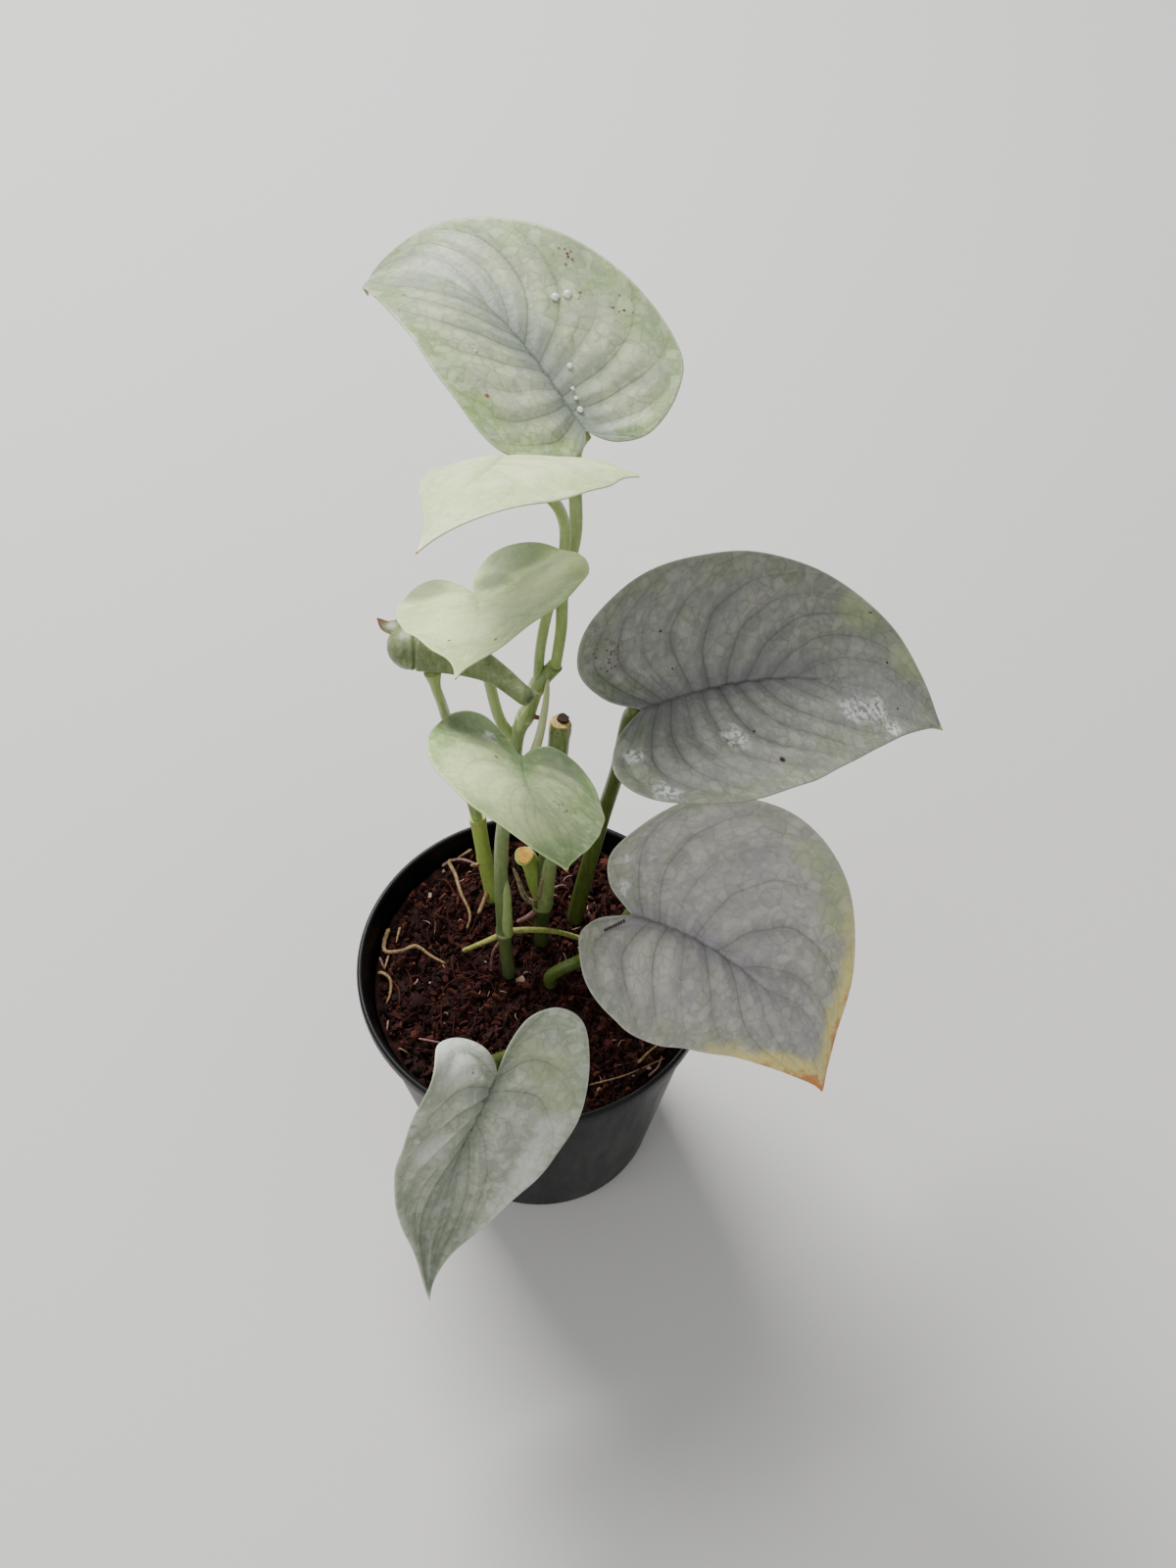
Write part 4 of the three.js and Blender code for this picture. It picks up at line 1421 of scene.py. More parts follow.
    def tongue(self) -> Shell:
        """The hook: a tapered rod, flattened to a third, that turns brown towards its end.

        Returns:
            The closed shell, with the brown as an attribute.
        """
        steps, sides = 40, 24
        curve, _ = even_path(np.array(self.hook), steps)
        turn = np.linspace(0, 2 * math.pi, sides, endpoint=False)
        width = catmull_rom(np.array(self.hook_radii)[:, None], np.linspace(0, len(self.hook) - 1, steps))
        rod = tube(curve, width / np.sqrt(np.cos(turn) ** 2 + (3 * np.sin(turn)) ** 2), sides)
        brown = smooth_step(rod.attributes["share"], 0.45, 0.9)
        rod.attributes = {"node": brown, "old": np.zeros(len(brown))}
        return rod

    def build(self) -> Pieces:
        """Makes and dresses the rolled blade.

        Returns:
            The piece.
        """
        shell = joined([self.roll(), self.tongue()])
        return [make_piece(
            "blade_young", shell, self.finish.material(), ("leaf_young",), sharp_angle=50,
        )]


# Stems, stalks and roots

SOIL_TOP = 84.0
# Where each rooted stem stands in the soil
ROOTED_AT = {
    "tall": (-8, 2), "left": (-13.6, 27.5), "centre": (1.7, 12.7), "dark": (12, 20.3),
    "yellowing": (4.5, -1.6), "lowest": (3, -19.7),
}

YOUNG_GREEN = GreenStalk("young green stalk", green="#95a766", dark="#6c8346", pale="#b3c085", mottle=0.25)
OLD_GREEN = GreenStalk(
    "old green stem", green="#596b34", dark="#374626", pale="#7c8a56", ring="#b9ba8e", mottle=0.4,
)
TALL_GREEN = GreenStalk(
    "tall green stem", green="#84945a", dark="#3d4d28", pale="#a5b178", ring="#c3c39a", mottle=0.3,
)
BRIGHT_GREEN = GreenStalk("bright green stem", green="#a2b557", dark="#7b9440", pale="#c3cd80", mottle=0.25)
OLIVE = GreenStalk("olive stalk", green="#4e5b25", dark="#333e1a", pale="#667338", mottle=0.35)
MOTTLED = GreenStalk("mottled cut stub", green="#6f7f44", dark="#2f3d22", pale="#a3ab74", mottle=0.95)
CREAM = GreenStalk("pale sheath", green="#b9c08c", dark="#97a36d", pale="#d3d6ae", mottle=0.15)
PAPER = DrySkin("dry papery sheath", "#a39474", "#75624a", 1.4, 0.8)
DRY_ROOT = DrySkin("dry root skin", "#94794d", "#664a35", 1.0, 0.7)
PINK_ROOT = DrySkin("pink root skin", "#8a6257", "#5f3f3b", 1.0, 0.65)
AERIAL_ROOT = DrySkin("aerial root skin", "#a5a659", "#7f8340", 1.2, 0.55)
CUT_ORANGE = DrySkin("fresh orange cut", "#edc05a", "#cf8a22", 3.0, 0.45)
CUT_TAN = DrySkin("dried tan cut", "#d6bd7c", "#a5854c", 0.7, 0.8)
CUT_BROWN = DrySkin("rotted brown pith", "#3f241a", "#1f110d", 0.7, 0.85)


def foot(name: str) -> Triples:
    """The straight part of a rooted stem, from the bottom of its hole to just above the soil."""
    return tuple((*ROOTED_AT[name], SOIL_TOP + step) for step in (-20, -10, -1, 3))


@dataclass(frozen=True)
class Stalk:
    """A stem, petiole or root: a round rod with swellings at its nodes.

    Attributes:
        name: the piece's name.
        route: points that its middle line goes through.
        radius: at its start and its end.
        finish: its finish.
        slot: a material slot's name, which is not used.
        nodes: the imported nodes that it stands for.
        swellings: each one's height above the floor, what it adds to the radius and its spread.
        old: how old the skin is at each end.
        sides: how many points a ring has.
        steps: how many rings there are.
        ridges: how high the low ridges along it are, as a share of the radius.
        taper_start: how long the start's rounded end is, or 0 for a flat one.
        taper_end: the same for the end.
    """

    name: str
    route: Triples
    radius: Pair
    finish: GreenStalk | DrySkin
    slot: str
    nodes: tuple[str, ...] = ()
    swellings: Triples = ()
    old: Pair = (0.0, 0.0)
    sides: int = 28
    steps: int = 90
    ridges: float = 0.03
    taper_start: float = 0.0
    taper_end: float = 0.0

    def shell(self) -> Shell:
        """The rod: its radius runs from one value to the other, with a bell curve at each node.

        A node that swells enough has a sunk ring. Low ridges run along the rod, as sines of the
        turn. An end that tapers follows a quarter circle.

        Returns:
            The closed shell, with its rings and its age as attributes.
        """
        path, length = even_path(np.array(self.route, float), self.steps)
        share = np.linspace(0, 1, self.steps)
        radius = self.radius[0] + (self.radius[1] - self.radius[0]) * share
        ring = np.zeros(self.steps)
        for height, growth, spread in self.swellings:
            away = (share - share[np.argmin(np.abs(path[:, 2] - height))]) * length
            radius = radius + growth * np.exp(-(away / spread) ** 2)
            if growth > 0.25:
                ring = np.maximum(ring, 0.85 * np.exp(-(away / 0.5) ** 2))
        for reach, run in ((self.taper_start, share * length), (self.taper_end, (1 - share) * length)):
            if reach:
                radius = radius * np.sqrt(np.clip(1 - (1 - np.clip(run / reach, 0, 1)) ** 2, 0.02, 1))
        radius = radius - 0.12 * ring
        turn = np.linspace(0, 2 * math.pi, self.sides, endpoint=False)
        wave = np.sin(3 * turn + 4 * share[:, None]) + 0.6 * np.sin(5 * turn - 7 * share[:, None])
        shell = tube(path, radius[:, None] * (1 + self.ridges * wave), self.sides)
        old = self.old[0] + (self.old[1] - self.old[0]) * share
        shell.attributes["node"] = np.append(np.repeat(ring, self.sides), [0, 0])
        shell.attributes["old"] = np.append(np.repeat(old, self.sides), self.old)
        return shell

    def build(self) -> Pieces:
        """Makes and dresses the rod."""
        material = self.finish.material()
        return [make_piece(self.name, self.shell(), material, self.nodes, sharp_angle=60)]


@dataclass(frozen=True)
class Stems:
    """The three stems, then their sheaths, dry strands and nubs, then the stubs and their cuts."""

    rods: tuple[Stalk, ...] = (
        Stalk(
            "stem_tall_rod", (
                *foot("tall"), (-9, 5, 102), (-8.6, 13, 138), (-5.5, 26, 152), (-3.9, 31, 164),
                (-0.5, 33, 173), (2, 33, 183), (6.8, 32, 193),
            ), (1.9, 2.1), TALL_GREEN, "stem", ("stem_tall",),
            ((102, 0.5, 2.5), (150, 0.3, 2.0), (170, 0.55, 2.5), (183, 0.55, 2.5)), (1.0, -0.35), steps=180,
        ),
        Stalk(
            "stem_left_rod", (*foot("left"), (-15.5, 31, 102), (-17, 34, 119)), (2.2, 2.3), BRIGHT_GREEN,
            "stem", ("stem_left",), ((101, 0.26, 1.5), (118, 0.35, 2.0)), (0.35, 0.0),
        ),
        Stalk(
            "stem_centre_rod",
            (*foot("centre"), (2, 14.8, 100), (4.4, 19, 128), (6.5, 26, 150), (8, 32, 166)), (2.0, 2.8),
            OLD_GREEN, "stem", ("stem_centre",), ((101, 0.6, 2.2), (108, 0.5, 5.0)), (0.6, 0.2), steps=120,
        ),
        Stalk(
            "sheath_pointed",
            ((-5.5, 25.5, 148), (-1.6, 26.6, 154), (1.4, 27.6, 163), (3.8, 29, 177), (5, 29.3, 191)),
            (1.7, 0.7), CREAM, "stem", taper_start=2.0, taper_end=7.0,
        ),
        Stalk(
            "sheath_front", ((-7.9, 4.2, 101.2), (-7.8, 4.6, 108), (-7.7, 6.4, 118), (-8.0, 8.8, 127)),
            (1.7, 1.0), YOUNG_GREEN, "stem", taper_start=1.0, taper_end=9.0,
        ),
        Stalk(
            "sheath_centre", ((2.8, 13.6, 101), (3.3, 13.8, 107), (4.2, 15.6, 118), (5.2, 18.6, 129)),
            (2.3, 2.0), TALL_GREEN, "stem", taper_start=1.0, taper_end=9.0,
        ),
        Stalk(
            "strand_left", ((0.4, 14.2, 102), (-2.6, 14.8, 104.5), (-4.7, 16.7, 111.5), (-6.2, 18.4, 115.5)),
            (0.9, 0.5), PAPER, "stem", ridges=0.12, taper_start=1.0, taper_end=3.0,
        ),
        Stalk(
            "strand_front", ((4.6, 16.0, 122), (3.1, 14.6, 117.5), (1.4, 13.0, 111), (0.6, 12.6, 107)),
            (1.1, 0.5), PAPER, "stem", ridges=0.14, taper_start=1.0, taper_end=2.0,
        ),
        Stalk(
            "spur_left", ((-15.2, 30.2, 101.2), (-17.6, 28.9, 101), (-19.6, 28.3, 101.4)), (0.75, 0.5),
            DRY_ROOT, "stem", sides=12, steps=20, taper_end=0.8,
        ),
        Stalk(
            "nub_pink", ((1.0, 32.0, 170.5), (4.2, 31.4, 170.5)), (0.7, 0.5), PINK_ROOT, "stem",
            sides=12, steps=16, taper_end=0.8,
        ),
        Stalk(
            "patch_cream", ((-3.4, 29.9, 166.8), (-2.3, 30.8, 171), (-0.4, 31.6, 176.5)), (1.2, 0.9),
            YOUNG_GREEN, "stem", steps=30, taper_start=3.0, taper_end=5.0,
        ),
        Stalk(
            "stub_side",
            ((2.2, 15.2, 103), (0.8, 16, 109), (-1, 18.6, 117), (-2.2, 18.8, 120.8), (-3, 17.6, 123)),
            (2.3, 2.75), BRIGHT_GREEN, "stem", old=(0.7, 0.1), steps=50,
        ),
        Stalk(
            "cut_orange", ((-2.1, 18.9, 121.3), (-2.672, 17.6, 123.484)), (2.45, 2.2785), CUT_ORANGE,
            "stem", steps=8, ridges=0.06,
        ),
        Stalk(
            "stub_top", ((6.6, 27, 152), (7.2, 29.6, 160), (8.0, 32.0, 167.5)), (2.75, 3.0), MOTTLED,
            "stem", swellings=((165, 0.2, 2.0),), steps=50,
        ),
        Stalk(
            "cut_rim", ((7.8, 31.8, 167.1), (8.04, 31.95, 168.57)), (2.85, 2.6505), CUT_TAN, "stem",
            steps=8, ridges=0.06,
        ),
        Stalk(
            "cut_pith", ((8.6, 32.7, 168), (8.808, 32.83, 169.274)), (1.7, 1.581), CUT_BROWN, "stem",
            steps=8, ridges=0.06,
        ),
    )

    def build(self) -> Pieces:
        """Makes and dresses every rod."""
        return [piece for rod in self.rods for piece in rod.build()]


@dataclass(frozen=True)
class Petioles:
    """The blades' stalks. Each comes up behind and below its blade's base and ends under it.

    Attributes:
        rows: each one's blade, its route, its radii, its finish, and how far behind and below the
            base it turns in.
        young: the rolled leaf's, which widens into it.
    """

    rows: tuple[tuple[str, Triples, Pair, GreenStalk, Pair], ...] = (
        ("top", ((7, 32.1, 193), (8.6, 34.5, 206), (9.2, 37.5, 219), (12.4, 41, 236)), (1.5, 1.8),
         YOUNG_GREEN, (2, 7)),
        ("pale",
         ((2, 33, 182), (3, 33.5, 198), (5.5, 34, 215), (8.4, 34.5, 226), (9.8, 35, 246), (5, 31, 261)),
         (1.4, 1.5), YOUNG_GREEN, (4, 7)),
        ("folded", ((-3.9, 31, 161), (-7.9, 32, 167), (-11, 31.5, 189), (-12.8, 27, 214)), (1.6, 1.4),
         YOUNG_GREEN, (3, 7)),
        ("heart", ((-7.2, 20, 145), (-6, 17, 152), (-4, 13.5, 165)), (1.4, 1.3), YOUNG_GREEN, (3, 4)),
        ("dark", (*foot("dark"), (19, 25, 128), (23.7, 25, 155)), (2.5, 2.0), OLIVE, (-0.5, 6)),
        ("yellowing", (*foot("yellowing"), (8, -1.4, 91.5), (14, -1, 96), (21, -3.5, 112)), (2.0, 1.8),
         OLIVE, (-1, 6)),
        ("lowest", (*foot("lowest"), (0.5, -34, 104)), (2.0, 1.7), OLIVE, (-1, 5)),
    )
    young: Stalk = Stalk(
        "stalk_young", (
            (-17, 34, 118.6), (-20.5, 35, 145), (-23.5, 33, 170), (-24, 28, 184), (-24.6, 26.2, 191),
            (-25.4, 27.5, 197.5),
        ), (1.7, 1.3), YOUNG_GREEN, "petiole", ("petiole_young",), ((197.5, 1.2, 3.5),), taper_end=0.6,
    )

    def build(self) -> Pieces:
        """Makes and dresses each blade's stalk, with a slight swelling where it meets the base.

        Returns:
            The pieces.
        """
        blades = {blade.name: blade for blade in BLADES}
        pieces = []
        for name, route, radius, finish, behind in self.rows:
            end = blades[name].beneath(0.2, 0.5)
            pieces += Stalk(
                f"stalk_{name}", (*route, blades[name].beneath(*behind), end), radius, finish, "petiole",
                (f"petiole_{name}",), ((end[2], 0.15, 3.5),), taper_end=0.6,
            ).build()
        return pieces + self.young.build()


@dataclass(frozen=True)
class Roots:
    """The aerial roots from the tall stem's lowest node, and three smaller ones near it."""

    rods: tuple[Stalk, ...] = (
        Stalk(
            "root_left_rod", ((-9, 5, 101), (-14, 6, 95), (-22, 7.5, 86.6)), (0.95, 0.65), AERIAL_ROOT,
            "root", ("root_left",), sides=14, ridges=0.06, taper_end=1.5,
        ),
        Stalk(
            "root_right_rod", ((-8.5, 5, 102), (-2, 6.5, 100.5), (6, 8, 97), (14, 9, 91), (21, 9, 86.6)),
            (0.95, 0.65), AERIAL_ROOT, "root", ("root_right",), sides=14, ridges=0.06, taper_end=1.5,
        ),
        Stalk(
            "root_small", ((-9.6, 3.8, 100), (-12.4, 2.6, 94), (-13.2, 1.2, 86)), (0.5, 0.35), PINK_ROOT,
            "root", sides=10, steps=30,
        ),
        Stalk(
            "root_cream", ((-13.2, 29.6, 92), (-15.4, 25.2, 88.5), (-17.6, 20.6, 86)), (0.8, 0.65),
            DRY_ROOT, "root", sides=12, steps=30, taper_end=1.0,
        ),
        Stalk(
            "root_stub", ((0.6, 13.6, 99.5), (-2.6, 12.4, 97.5), (-5.6, 12.4, 95)), (1.0, 0.7), PINK_ROOT,
            "root", sides=12, steps=24, taper_end=0.8,
        ),
    )

    def build(self) -> Pieces:
        """Makes and dresses every root."""
        return [piece for rod in self.rods for piece in rod.build()]


# Soil

# Each root that lies on the soil: rows of x, y and height above the soil, its radius and its finish
SURFACE_ROOTS = (
    (
        ((-30, 46, 0.6), (-28, 40, 0.9), (-25, 34, 0.8), (-23, 27, 0.8), (-20, 20, 0.6), (-21, 16, 0)),
        0.75, DRY_ROOT,
    ),
    (((-31, 39, 0), (-27, 40, 0.8), (-23, 39, 0.6), (-17.5, 36.5, 0.8), (-9, 33.5, 0.2)), 0.6, PINK_ROOT),
    (((-22, 46.5, 0.3), (-26, 42, 0.2)), 0.6, DRY_ROOT),
    (
        (
            (-47.5, 17, 0.2), (-47, 12, 0.6), (-45, 8, 0.7), (-40, 8, 0.9), (-36, 9, 0.8), (-31, 6, 0.7),
            (-27, 4, 0),
        ), 0.85, DRY_ROOT,
    ),
    (((-44, 7, 0.6), (-45, 2, 0.2)), 0.5, DRY_ROOT),
    (((-47.5, 6, 0.4), (-45, 2, 0.2)), 0.5, PINK_ROOT),
    (((-41, 16, 0.4), (-42, 11, 0.2)), 0.5, DRY_ROOT),
    (((-47.5, 1, 0.2), (-45, 0, 0.7), (-43, -2, 0.8), (-43, -6, 0.6), (-44, -9, 0)), 0.7, DRY_ROOT),
    (((-34, -21, 0.2), (-30, -22, 0.6), (-23, -24, 0.2)), 0.4, PINK_ROOT),
    (((-43, -15, 0.2), (-44, -19, 0.3)), 0.5, PINK_ROOT),
    (((-41, -26, 0.1), (-39, -25, 0.3), (-36.5, -26, 0.1)), 0.4, DRY_ROOT),
    (((16, -36, 0), (26, -33, 0.7), (38, -27.5, 0.6)), 0.35, DRY_ROOT),
    (((30, -29, 0.2), (33, -25.5, 0.6), (36, -23.5, 0.4)), 0.6, DRY_ROOT),
    (((33, -33.5, 0.3), (36, -30, 0.6), (37, -27, 0.3)), 0.5, PINK_ROOT),
    (((4.2, 29.2, 0.4), (8.1, 29.6, 0.7), (10.5, 28.2, 0.2)), 0.5, PINK_ROOT),
)

# A block with 12 corners and 20 faces, an icosahedron of radius 1
GOLDEN = (1 + math.sqrt(5)) / 2
BLOCK_CORNERS = np.array([
    [-1, GOLDEN, 0], [1, GOLDEN, 0], [-1, -GOLDEN, 0], [1, -GOLDEN, 0],
    [0, -1, GOLDEN], [0, 1, GOLDEN], [0, -1, -GOLDEN], [0, 1, -GOLDEN],
    [GOLDEN, 0, -1], [GOLDEN, 0, 1], [-GOLDEN, 0, -1], [-GOLDEN, 0, 1],
]) / math.sqrt(1 + GOLDEN ** 2)
BLOCK_FACES = np.array([
    [0, 11, 5], [0, 5, 1], [0, 1, 7], [0, 7, 10], [0, 10, 11], [1, 5, 9], [5, 11, 4], [11, 10, 2],
    [10, 7, 6], [7, 1, 8], [3, 9, 4], [3, 4, 2], [3, 2, 6], [3, 6, 8], [3, 8, 9], [4, 9, 5],
    [2, 4, 11], [6, 2, 10], [8, 6, 7], [9, 8, 1],
])


@dataclass(frozen=True)
class Soil:
    """The potting mix: a bed with a rough top, chips of bark and coir on it, fibres and roots.

    The radii are the bed's, at its top and its foot, and heap is how much higher it is towards the
    back. So many chips and fibres are tried, and those closer to the middle of a stem than the gap
    are left out. Roots lie within their reach from the pot's axis.
    """

    radius: float = 48.2
    low_radius: float = 33.3
    bottom: float = 2.1
    heap: float = 2.8
    rings: int = 46
    sides: int = 160
    chips: int = 5600
    fibres: int = 300
    stem_gap: float = 3.6
    root_reach: float = 47.0
    seed: int = 11
    finish: CoirMix = CoirMix()

    def height(self, x: np.ndarray, y: np.ndarray) -> np.ndarray:
        """The surface's height: three crossing waves, like clumps of coir, and a heap to the back."""
        clumps = np.sin(0.42 * x + 1.3) * np.cos(0.37 * y - 0.4) + 0.6 * np.sin(0.83 * x - 0.61 * y)
        return SOIL_TOP + 0.8 * clumps + self.heap * smooth_step(y, -5, 42)

    def bed(self) -> Shell:
        """The bed: a turned solid whose top follows the height, with finer waves for crumbs.

        Returns:
            The closed shell.
        """
        profile = np.vstack([
            [[0, self.bottom], [self.low_radius - 1.8, self.bottom], [self.low_radius, self.bottom + 1.2]],
            [[self.radius - 0.2, SOIL_TOP - 1.4]],
            np.column_stack([np.linspace(self.radius - 0.6, 0, self.rings), np.full(self.rings, SOIL_TOP)]),
        ])
        shell = lathe(profile, self.sides)
        x, y, z = shell.points.T
        crumbs = 0.35 * np.sin(1.9 * x + 0.7 * y) * np.sin(1.6 * y - 0.9 * x)
        crumbs = crumbs + 0.25 * np.sin(3.1 * x) * np.sin(2.7 * y)
        shell.points[:, 2] = np.where(z > SOIL_TOP - 0.1, self.height(x, y) - 0.9 + crumbs, z)
        return Shell(shell.points, shell.faces, {"tone": 0.35 + 0.25 * np.sin(1.3 * x) * np.sin(1.7 * y)})

    def scattered(self, draw: np.random.Generator, count: int, margin: float) -> np.ndarray:
        """Places on the surface, even over its area and clear of the stems.

        Args:
            draw: the seeded source of chance.
            count: how many to try.
            margin: the least distance from the pot's wall.

        Returns:
            Rows of x and y.
        """
        away = (self.radius - margin) * np.sqrt(draw.random(count))
        turn = 2 * math.pi * draw.random(count)
        places = np.column_stack([away * np.cos(turn), away * np.sin(turn)])
        feet = np.array(list(ROOTED_AT.values()))
        gap = np.linalg.norm(places[:, None] - feet[None], axis=2).min(axis=1)
        return places[gap > self.stem_gap]

    def chip_shell(self, draw: np.random.Generator) -> Shell:
        """Chips: one rough block of 20 faces, copied with its own size, turn and shade.

        Each copy's points are the block's corners times three sizes, times a rotation, with each
        corner moved a little. Most chips are small, since their grade is a high power of chance.

        Args:
            draw: the seeded source of chance.

        Returns:
            All the chips.
        """
        places = self.scattered(draw, self.chips, 1.8)
        count = len(places)
        grade = 0.5 + 1.2 * draw.random(count) ** 2.4
        size = grade[:, None] * draw.uniform([0.7, 0.6, 0.35], [1.5, 1.0, 0.7], (count, 3))
        spin = self.spins(draw, count)
        block = BLOCK_CORNERS[None] * size[:, None] * (1 + 0.22 * draw.standard_normal((count, 12, 1)))
        turned = np.einsum("nij,nkj->nki", spin, block)
        lift = self.height(places[:, 0], places[:, 1]) - 0.75 + 0.5 * draw.random(count) * grade
        points = turned + np.column_stack([places, lift])[:, None]
        faces = BLOCK_FACES[None] + 12 * np.arange(count)[:, None, None]
        tone = np.repeat(draw.random(count), 12)
        return Shell(points.reshape(-1, 3), [faces.reshape(-1, 3)], {"tone": tone})

    def spins(self, draw: np.random.Generator, count: int) -> np.ndarray:
        """Random rotations, from random unit quaternions.

        Args:
            draw: the seeded source of chance.
            count: how many.

        Returns:
            That many 3 by 3 matrices.
        """
        w, x, y, z = draw.standard_normal((4, count))
        size = np.sqrt(w * w + x * x + y * y + z * z)
        w, x, y, z = w / size, x / size, y / size, z / size
        return np.stack([
            np.stack([1 - 2 * (y * y + z * z), 2 * (x * y - z * w), 2 * (x * z + y * w)], axis=-1),
            np.stack([2 * (x * y + z * w), 1 - 2 * (x * x + z * z), 2 * (y * z - x * w)], axis=-1),
            np.stack([2 * (x * z - y * w), 2 * (y * z + x * w), 1 - 2 * (x * x + y * y)], axis=-1),
        ], axis=1)

    def fibre_shell(self, draw: np.random.Generator) -> Shell:
        """Fibres: thin curved rods with four sides, lying on the surface.

        A fibre's middle line is an arc: its place, plus its run along its heading, plus its bow
        times the run squared. Each ring is a small square round that line. Short ones are palest.

        Args:
            draw: the seeded source of chance.

        Returns:
            All the fibres.
        """
        rings = 9
        places = self.scattered(draw, self.fibres, 7.0)
        count = len(places)
        run = np.linspace(-0.5, 0.5, rings)
        length = draw.uniform(1.5, 12, count)
        turn = 2 * math.pi * draw.random(count)
        bow = draw.uniform(-0.9, 0.9, count)
        ahead = np.stack([np.cos(turn), np.sin(turn)], axis=1)
        aside = np.stack([-np.sin(turn), np.cos(turn)], axis=1)
        reach = (length[:, None] * run)[..., None]
        sag = (bow[:, None] * length[:, None] * run ** 2)[..., None]
        line = places[:, None] + reach * ahead[:, None] + sag * aside[:, None]
        inside = np.minimum(1, (self.radius - 1.6) / np.maximum(np.linalg.norm(line, axis=2), 1e-6))
        line = line * inside[..., None]
        lift = draw.uniform(0.0, 1.6, count)[:, None] * (1 - 2 * run ** 2)
        rise = self.height(line[..., 0], line[..., 1]) - 0.1 + lift
        thick = draw.uniform(0.11, 0.26, count)[:, None] * (1 - 1.4 * run ** 2)
        cross = thick[..., None, None] * np.array([[1, 0], [0, 1], [-1, 0], [0, -1]])
        level = line[:, :, None] + cross[..., :1] * aside[:, None, None]
        points = np.concatenate([level, rise[:, :, None, None] + cross[..., 1:]], axis=-1)
        ends = np.array([[3, 2, 1, 0], np.arange(4 * rings - 4, 4 * rings)])
        faces = np.vstack([turned_round(ring_walls(rings, 4)), ends])
        faces = faces[None] + 4 * rings * np.arange(count)[:, None, None]
        tone = np.repeat(np.where(length < 3.5, 1.0, 0.6 + 0.38 * draw.random(count)), 4 * rings)
        return Shell(points.reshape(-1, 3), [faces.reshape(-1, 4)], {"tone": tone})

    def root(self, number: int) -> Stalk:
        """A surface root. A point near the wall or past it is drawn in towards the pot's axis.

        Args:
            number: its row in the table.

        Returns:
            The root.
        """
        route, radius, finish = SURFACE_ROOTS[number]
        x, y, above = np.array(route, float).T
        inward = np.minimum(1, self.root_reach / np.hypot(x, y))
        x, y = x * inward, y * inward
        points = np.column_stack([x, y, self.height(x, y) + 0.5 + above])
        return Stalk(
            f"surface_root_{number}", tuple(map(tuple, points)), (0.85 * radius, 0.5 * radius), finish,
            "potting_mix", sides=10, steps=40, ridges=0.08, taper_start=1.0, taper_end=1.5,
        )

    def build(self) -> Pieces:
        """Makes and dresses the bed, the chips, the fibres and the surface roots.

        Returns:
            The pieces.
        """
        draw = np.random.default_rng(self.seed)
        coir = self.finish.material()
        pieces = [
            make_piece("soil_bed", self.bed(), coir, ("soil",)),
            make_piece("soil_chips", self.chip_shell(draw), coir, sharp_angle=35),
            make_piece("soil_fibres", self.fibre_shell(draw), coir),
        ]
        for number in range(len(SURFACE_ROOTS)):
            pieces += self.root(number).build()
        return pieces


# Pot

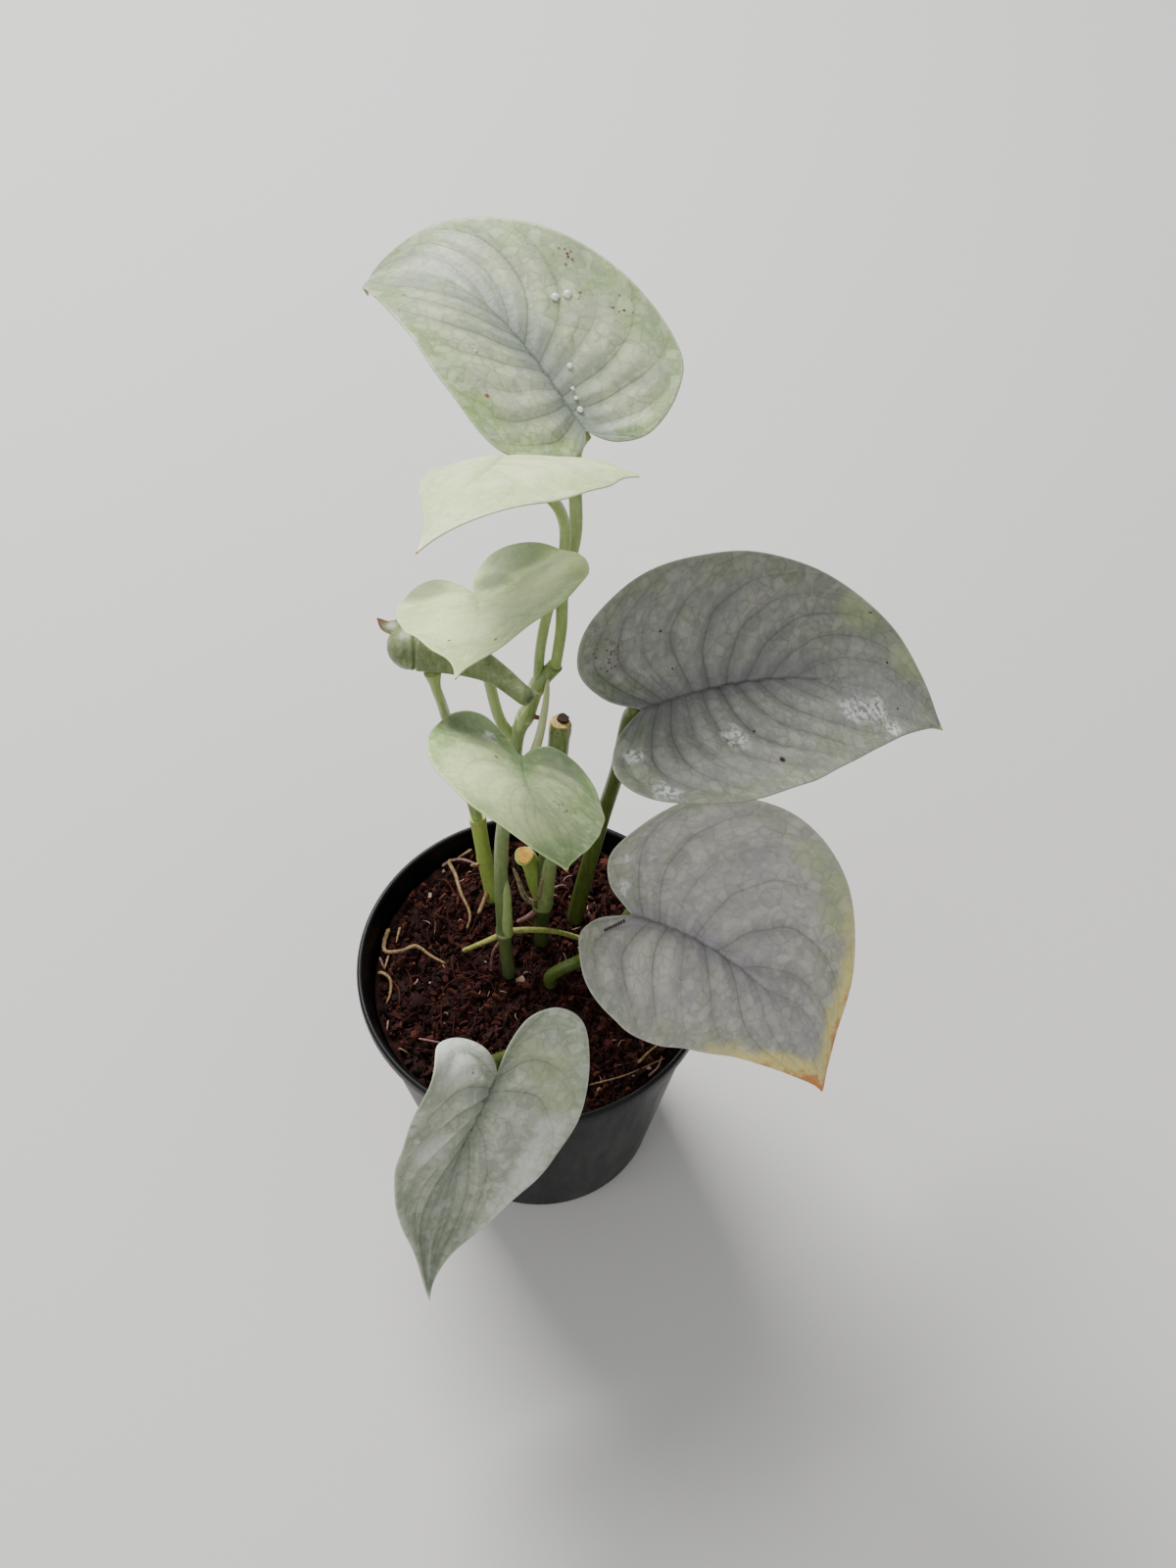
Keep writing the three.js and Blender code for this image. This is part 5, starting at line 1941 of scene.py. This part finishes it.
@dataclass(frozen=True)
class Pot:
    """The nursery pot: a thin round wall with a turned lip, and drain holes through its floor."""

    rim_radius: float = 52.5
    foot_radius: float = 36.0
    foot_round: float = 2.0
    height: float = 93.0
    wall: float = 1.2
    floor: float = 1.8
    lip: float = 4.5
    lip_reach: float = 2.0
    crown: float = 0.9
    sides: int = 180
    drain_count: int = 6
    drain_radius: float = 3.5
    drain_ring: float = 27.0
    drain_sides: int = 32
    finish: BlackPolypropylene = BlackPolypropylene()

    def profile(self) -> np.ndarray:
        """The section: from the middle of the foot up the outside, over the lip and down inside.

        The foot is a quarter circle and the lip's crown half a circle. The walls are straight.

        Returns:
            Rows of radius and height.
        """
        rim, foot, edge = self.rim_radius, self.foot_radius, self.foot_round
        neck = rim - self.lip_reach
        lip_base = self.height - self.lip
        turns = np.linspace(0, math.pi / 2, 7)
        round_foot = np.column_stack([foot - edge + edge * np.sin(turns), edge - edge * np.cos(turns)])
        rise = np.linspace(0.02, 0.98, 24)
        outside = np.column_stack([foot + (neck - foot) * rise, edge + (lip_base - edge) * rise])
        lip = np.array([
            [neck, lip_base - 0.1], [neck + 0.5, lip_base + 0.12], [rim - 0.4, lip_base + 0.25],
            [rim, lip_base + 0.8],
        ])
        over = np.linspace(0, math.pi, 13)
        crown = np.array([rim - self.crown, self.height - self.crown])
        crown = crown + self.crown * np.column_stack([np.cos(over), np.sin(over)])
        top, low = np.array([neck - self.wall, lip_base - 1]), np.array([foot - self.wall, self.floor + 1.2])
        inside = np.array([[rim - 2.2, self.height - 2.4], top])
        down = top + (low - top) * np.linspace(0.04, 1, 16)[:, None]
        end = np.array([[low[0] - 1.6, self.floor], [0, self.floor]])
        return np.vstack([[0, 0], round_foot, outside, lip, crown, inside, down, end])

    def build(self) -> Pieces:
        """Makes the wall, cuts the drain holes and dresses the pot.

        Returns:
            The piece.
        """
        shell = lathe(self.profile(), self.sides)
        pot = make_piece("pot_shell", shell, self.finish.material(), ("pot",))
        turns = 2 * math.pi * (np.arange(self.drain_count) + 0.5) / self.drain_count
        middles = self.drain_ring * np.column_stack([np.cos(turns), np.sin(turns), 0 * turns])
        cutter = new_object("drills", joined([
            tube(middle + [[0, 0, -3], [0, 0, 6]], np.full(2, self.drain_radius), self.drain_sides)
            for middle in middles
        ]))
        cut = pot.modifiers.new("drain holes", "BOOLEAN")
        cut.operation = "DIFFERENCE"
        cut.solver = "EXACT"
        cut.object = cutter
        whole = pot.evaluated_get(bpy.context.evaluated_depsgraph_get())
        pierced = bpy.data.meshes.new_from_object(whole)
        pot.modifiers.clear()
        pot.data = pierced
        bpy.data.objects.remove(cutter)
        pierced.set_sharp_from_angle(angle=math.radians(40))
        return [pot]


# Water

@dataclass(frozen=True)
class Drops:
    """Drops of water on the top blade: each is a flattened half ball with a sunken base.

    Each has a place across, a share along and a radius. Flatness is its height over its radius.
    """

    on_blade: str = "top"
    places: Triples = (
        (14.4, 0.37, 1.1), (17.2, 0.355, 1.1), (6.3, 0.19, 0.75), (3.6, 0.13, 0.5), (3.0, 0.10, 0.5),
        (2.2, 0.065, 0.8), (6.7, 0.34, 0.5), (-17.0, 0.35, 0.4),
    )
    flatness: float = 0.62
    finish: PaintedBrightWater = PaintedBrightWater()

    def build(self) -> Pieces:
        """Makes and dresses the drops, whose radius is the root of 1 less the rise squared.

        Returns:
            The piece.
        """
        blade = next(blade for blade in BLADES if blade.name == self.on_blade)
        across, along, radii = np.array(self.places).T
        flat = np.column_stack([across, along * blade.length])
        rise = np.linspace(-0.5, 1, 9)
        rounded = np.sqrt(np.clip(1 - np.maximum(rise, 0) ** 2, 0.001, 1)) * np.where(rise < 0, 0.9, 1)
        drops = joined([
            tube(point + way * (0.1 + self.flatness * radius * rise)[:, None], radius * rounded, 20)
            for point, way, radius in zip(blade.bend(flat), blade.normals(flat), radii)
        ])
        return [make_piece("water_drops", drops, self.finish.material())]


# Studio

@dataclass(frozen=True)
class Studio:
    """A pale floor, soft lights and the camera at the photograph's angle.

    Its places and the lamps' sizes are in metres. Each lamp has a name, a place, a size and a
    power in watts, and faces the middle of the plant.
    """

    camera_place: Triple = (0.015576, -0.324777, 0.648105)
    camera_pitch: float = 35.0
    lens: float = 50.0
    sensor_height: float = 36.0
    world: str = "#dcdee2"
    world_strength: float = 0.46
    floor_reach: float = 3.0
    paper: StudioPaper = StudioPaper()
    aim: Triple = (0, 0, 0.15)
    lamps: tuple[tuple[str, Triple, float, float], ...] = (
        ("key", (-0.45, 0.85, 1.2), 0.7, 38.0), ("fill", (0.9, -0.9, 1.1), 1.2, 5.0),
        ("front", (-0.8, -0.7, 0.9), 0.9, 5.0),
    )

    def build(self) -> None:
        """Sets up the floor, the world, the lights and the camera."""
        corners = self.floor_reach / MM * np.array([[-1, -1, 0], [1, -1, 0], [1, 1, 0], [-1, 1, 0]])
        ground = new_object("floor", Shell(corners, [np.array([[0, 1, 2, 3]])], {}))
        ground.data.materials.append(self.paper.material())
        world = bpy.data.worlds.new("studio air")
        world.use_nodes = True
        sky = world.node_tree.nodes["Background"]
        sky.inputs["Color"].default_value = linear(self.world)
        sky.inputs["Strength"].default_value = self.world_strength
        bpy.context.scene.world = world
        for lamp in self.lamps:
            self.lamp(*lamp)
        camera = bpy.data.cameras.new("camera")
        camera.lens = self.lens
        camera.sensor_fit = "VERTICAL"
        camera.sensor_height = self.sensor_height
        camera.clip_start = 0.01
        camera.clip_end = 50
        viewer = bpy.data.objects.new("camera", camera)
        viewer.location = self.camera_place
        viewer.rotation_euler = (math.radians(self.camera_pitch), 0, 0)
        bpy.context.scene.collection.objects.link(viewer)
        bpy.context.scene.camera = viewer

    def lamp(self, name: str, place: Triple, size: float, watts: float) -> None:
        """Hangs a soft square light.

        Args:
            name: the lamp's name.
            place: where it hangs.
            size: its side.
            watts: its power.
        """
        light = bpy.data.lights.new(name, "AREA")
        light.size = size
        light.energy = watts
        lamp = bpy.data.objects.new(name, light)
        lamp.location = place
        x, y, z = np.array(self.aim) - place
        lamp.rotation_euler = (math.atan2(math.hypot(x, y), -z), 0, math.atan2(-x, y))
        bpy.context.scene.collection.objects.link(lamp)


def main() -> None:
    """Builds the studio and every part of the plant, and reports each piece."""
    Studio().build()
    for part in (Pot(), Soil(), Stems(), Petioles(), Roots(), *BLADES, RolledLeaf(), Drops()):
        for piece in part.build():
            log.info("%s: %d faces", piece.name, len(piece.data.polygons))


if __name__ == "__main__":
    logging.basicConfig(level=logging.INFO, format="%(name)s: %(message)s")
    main()
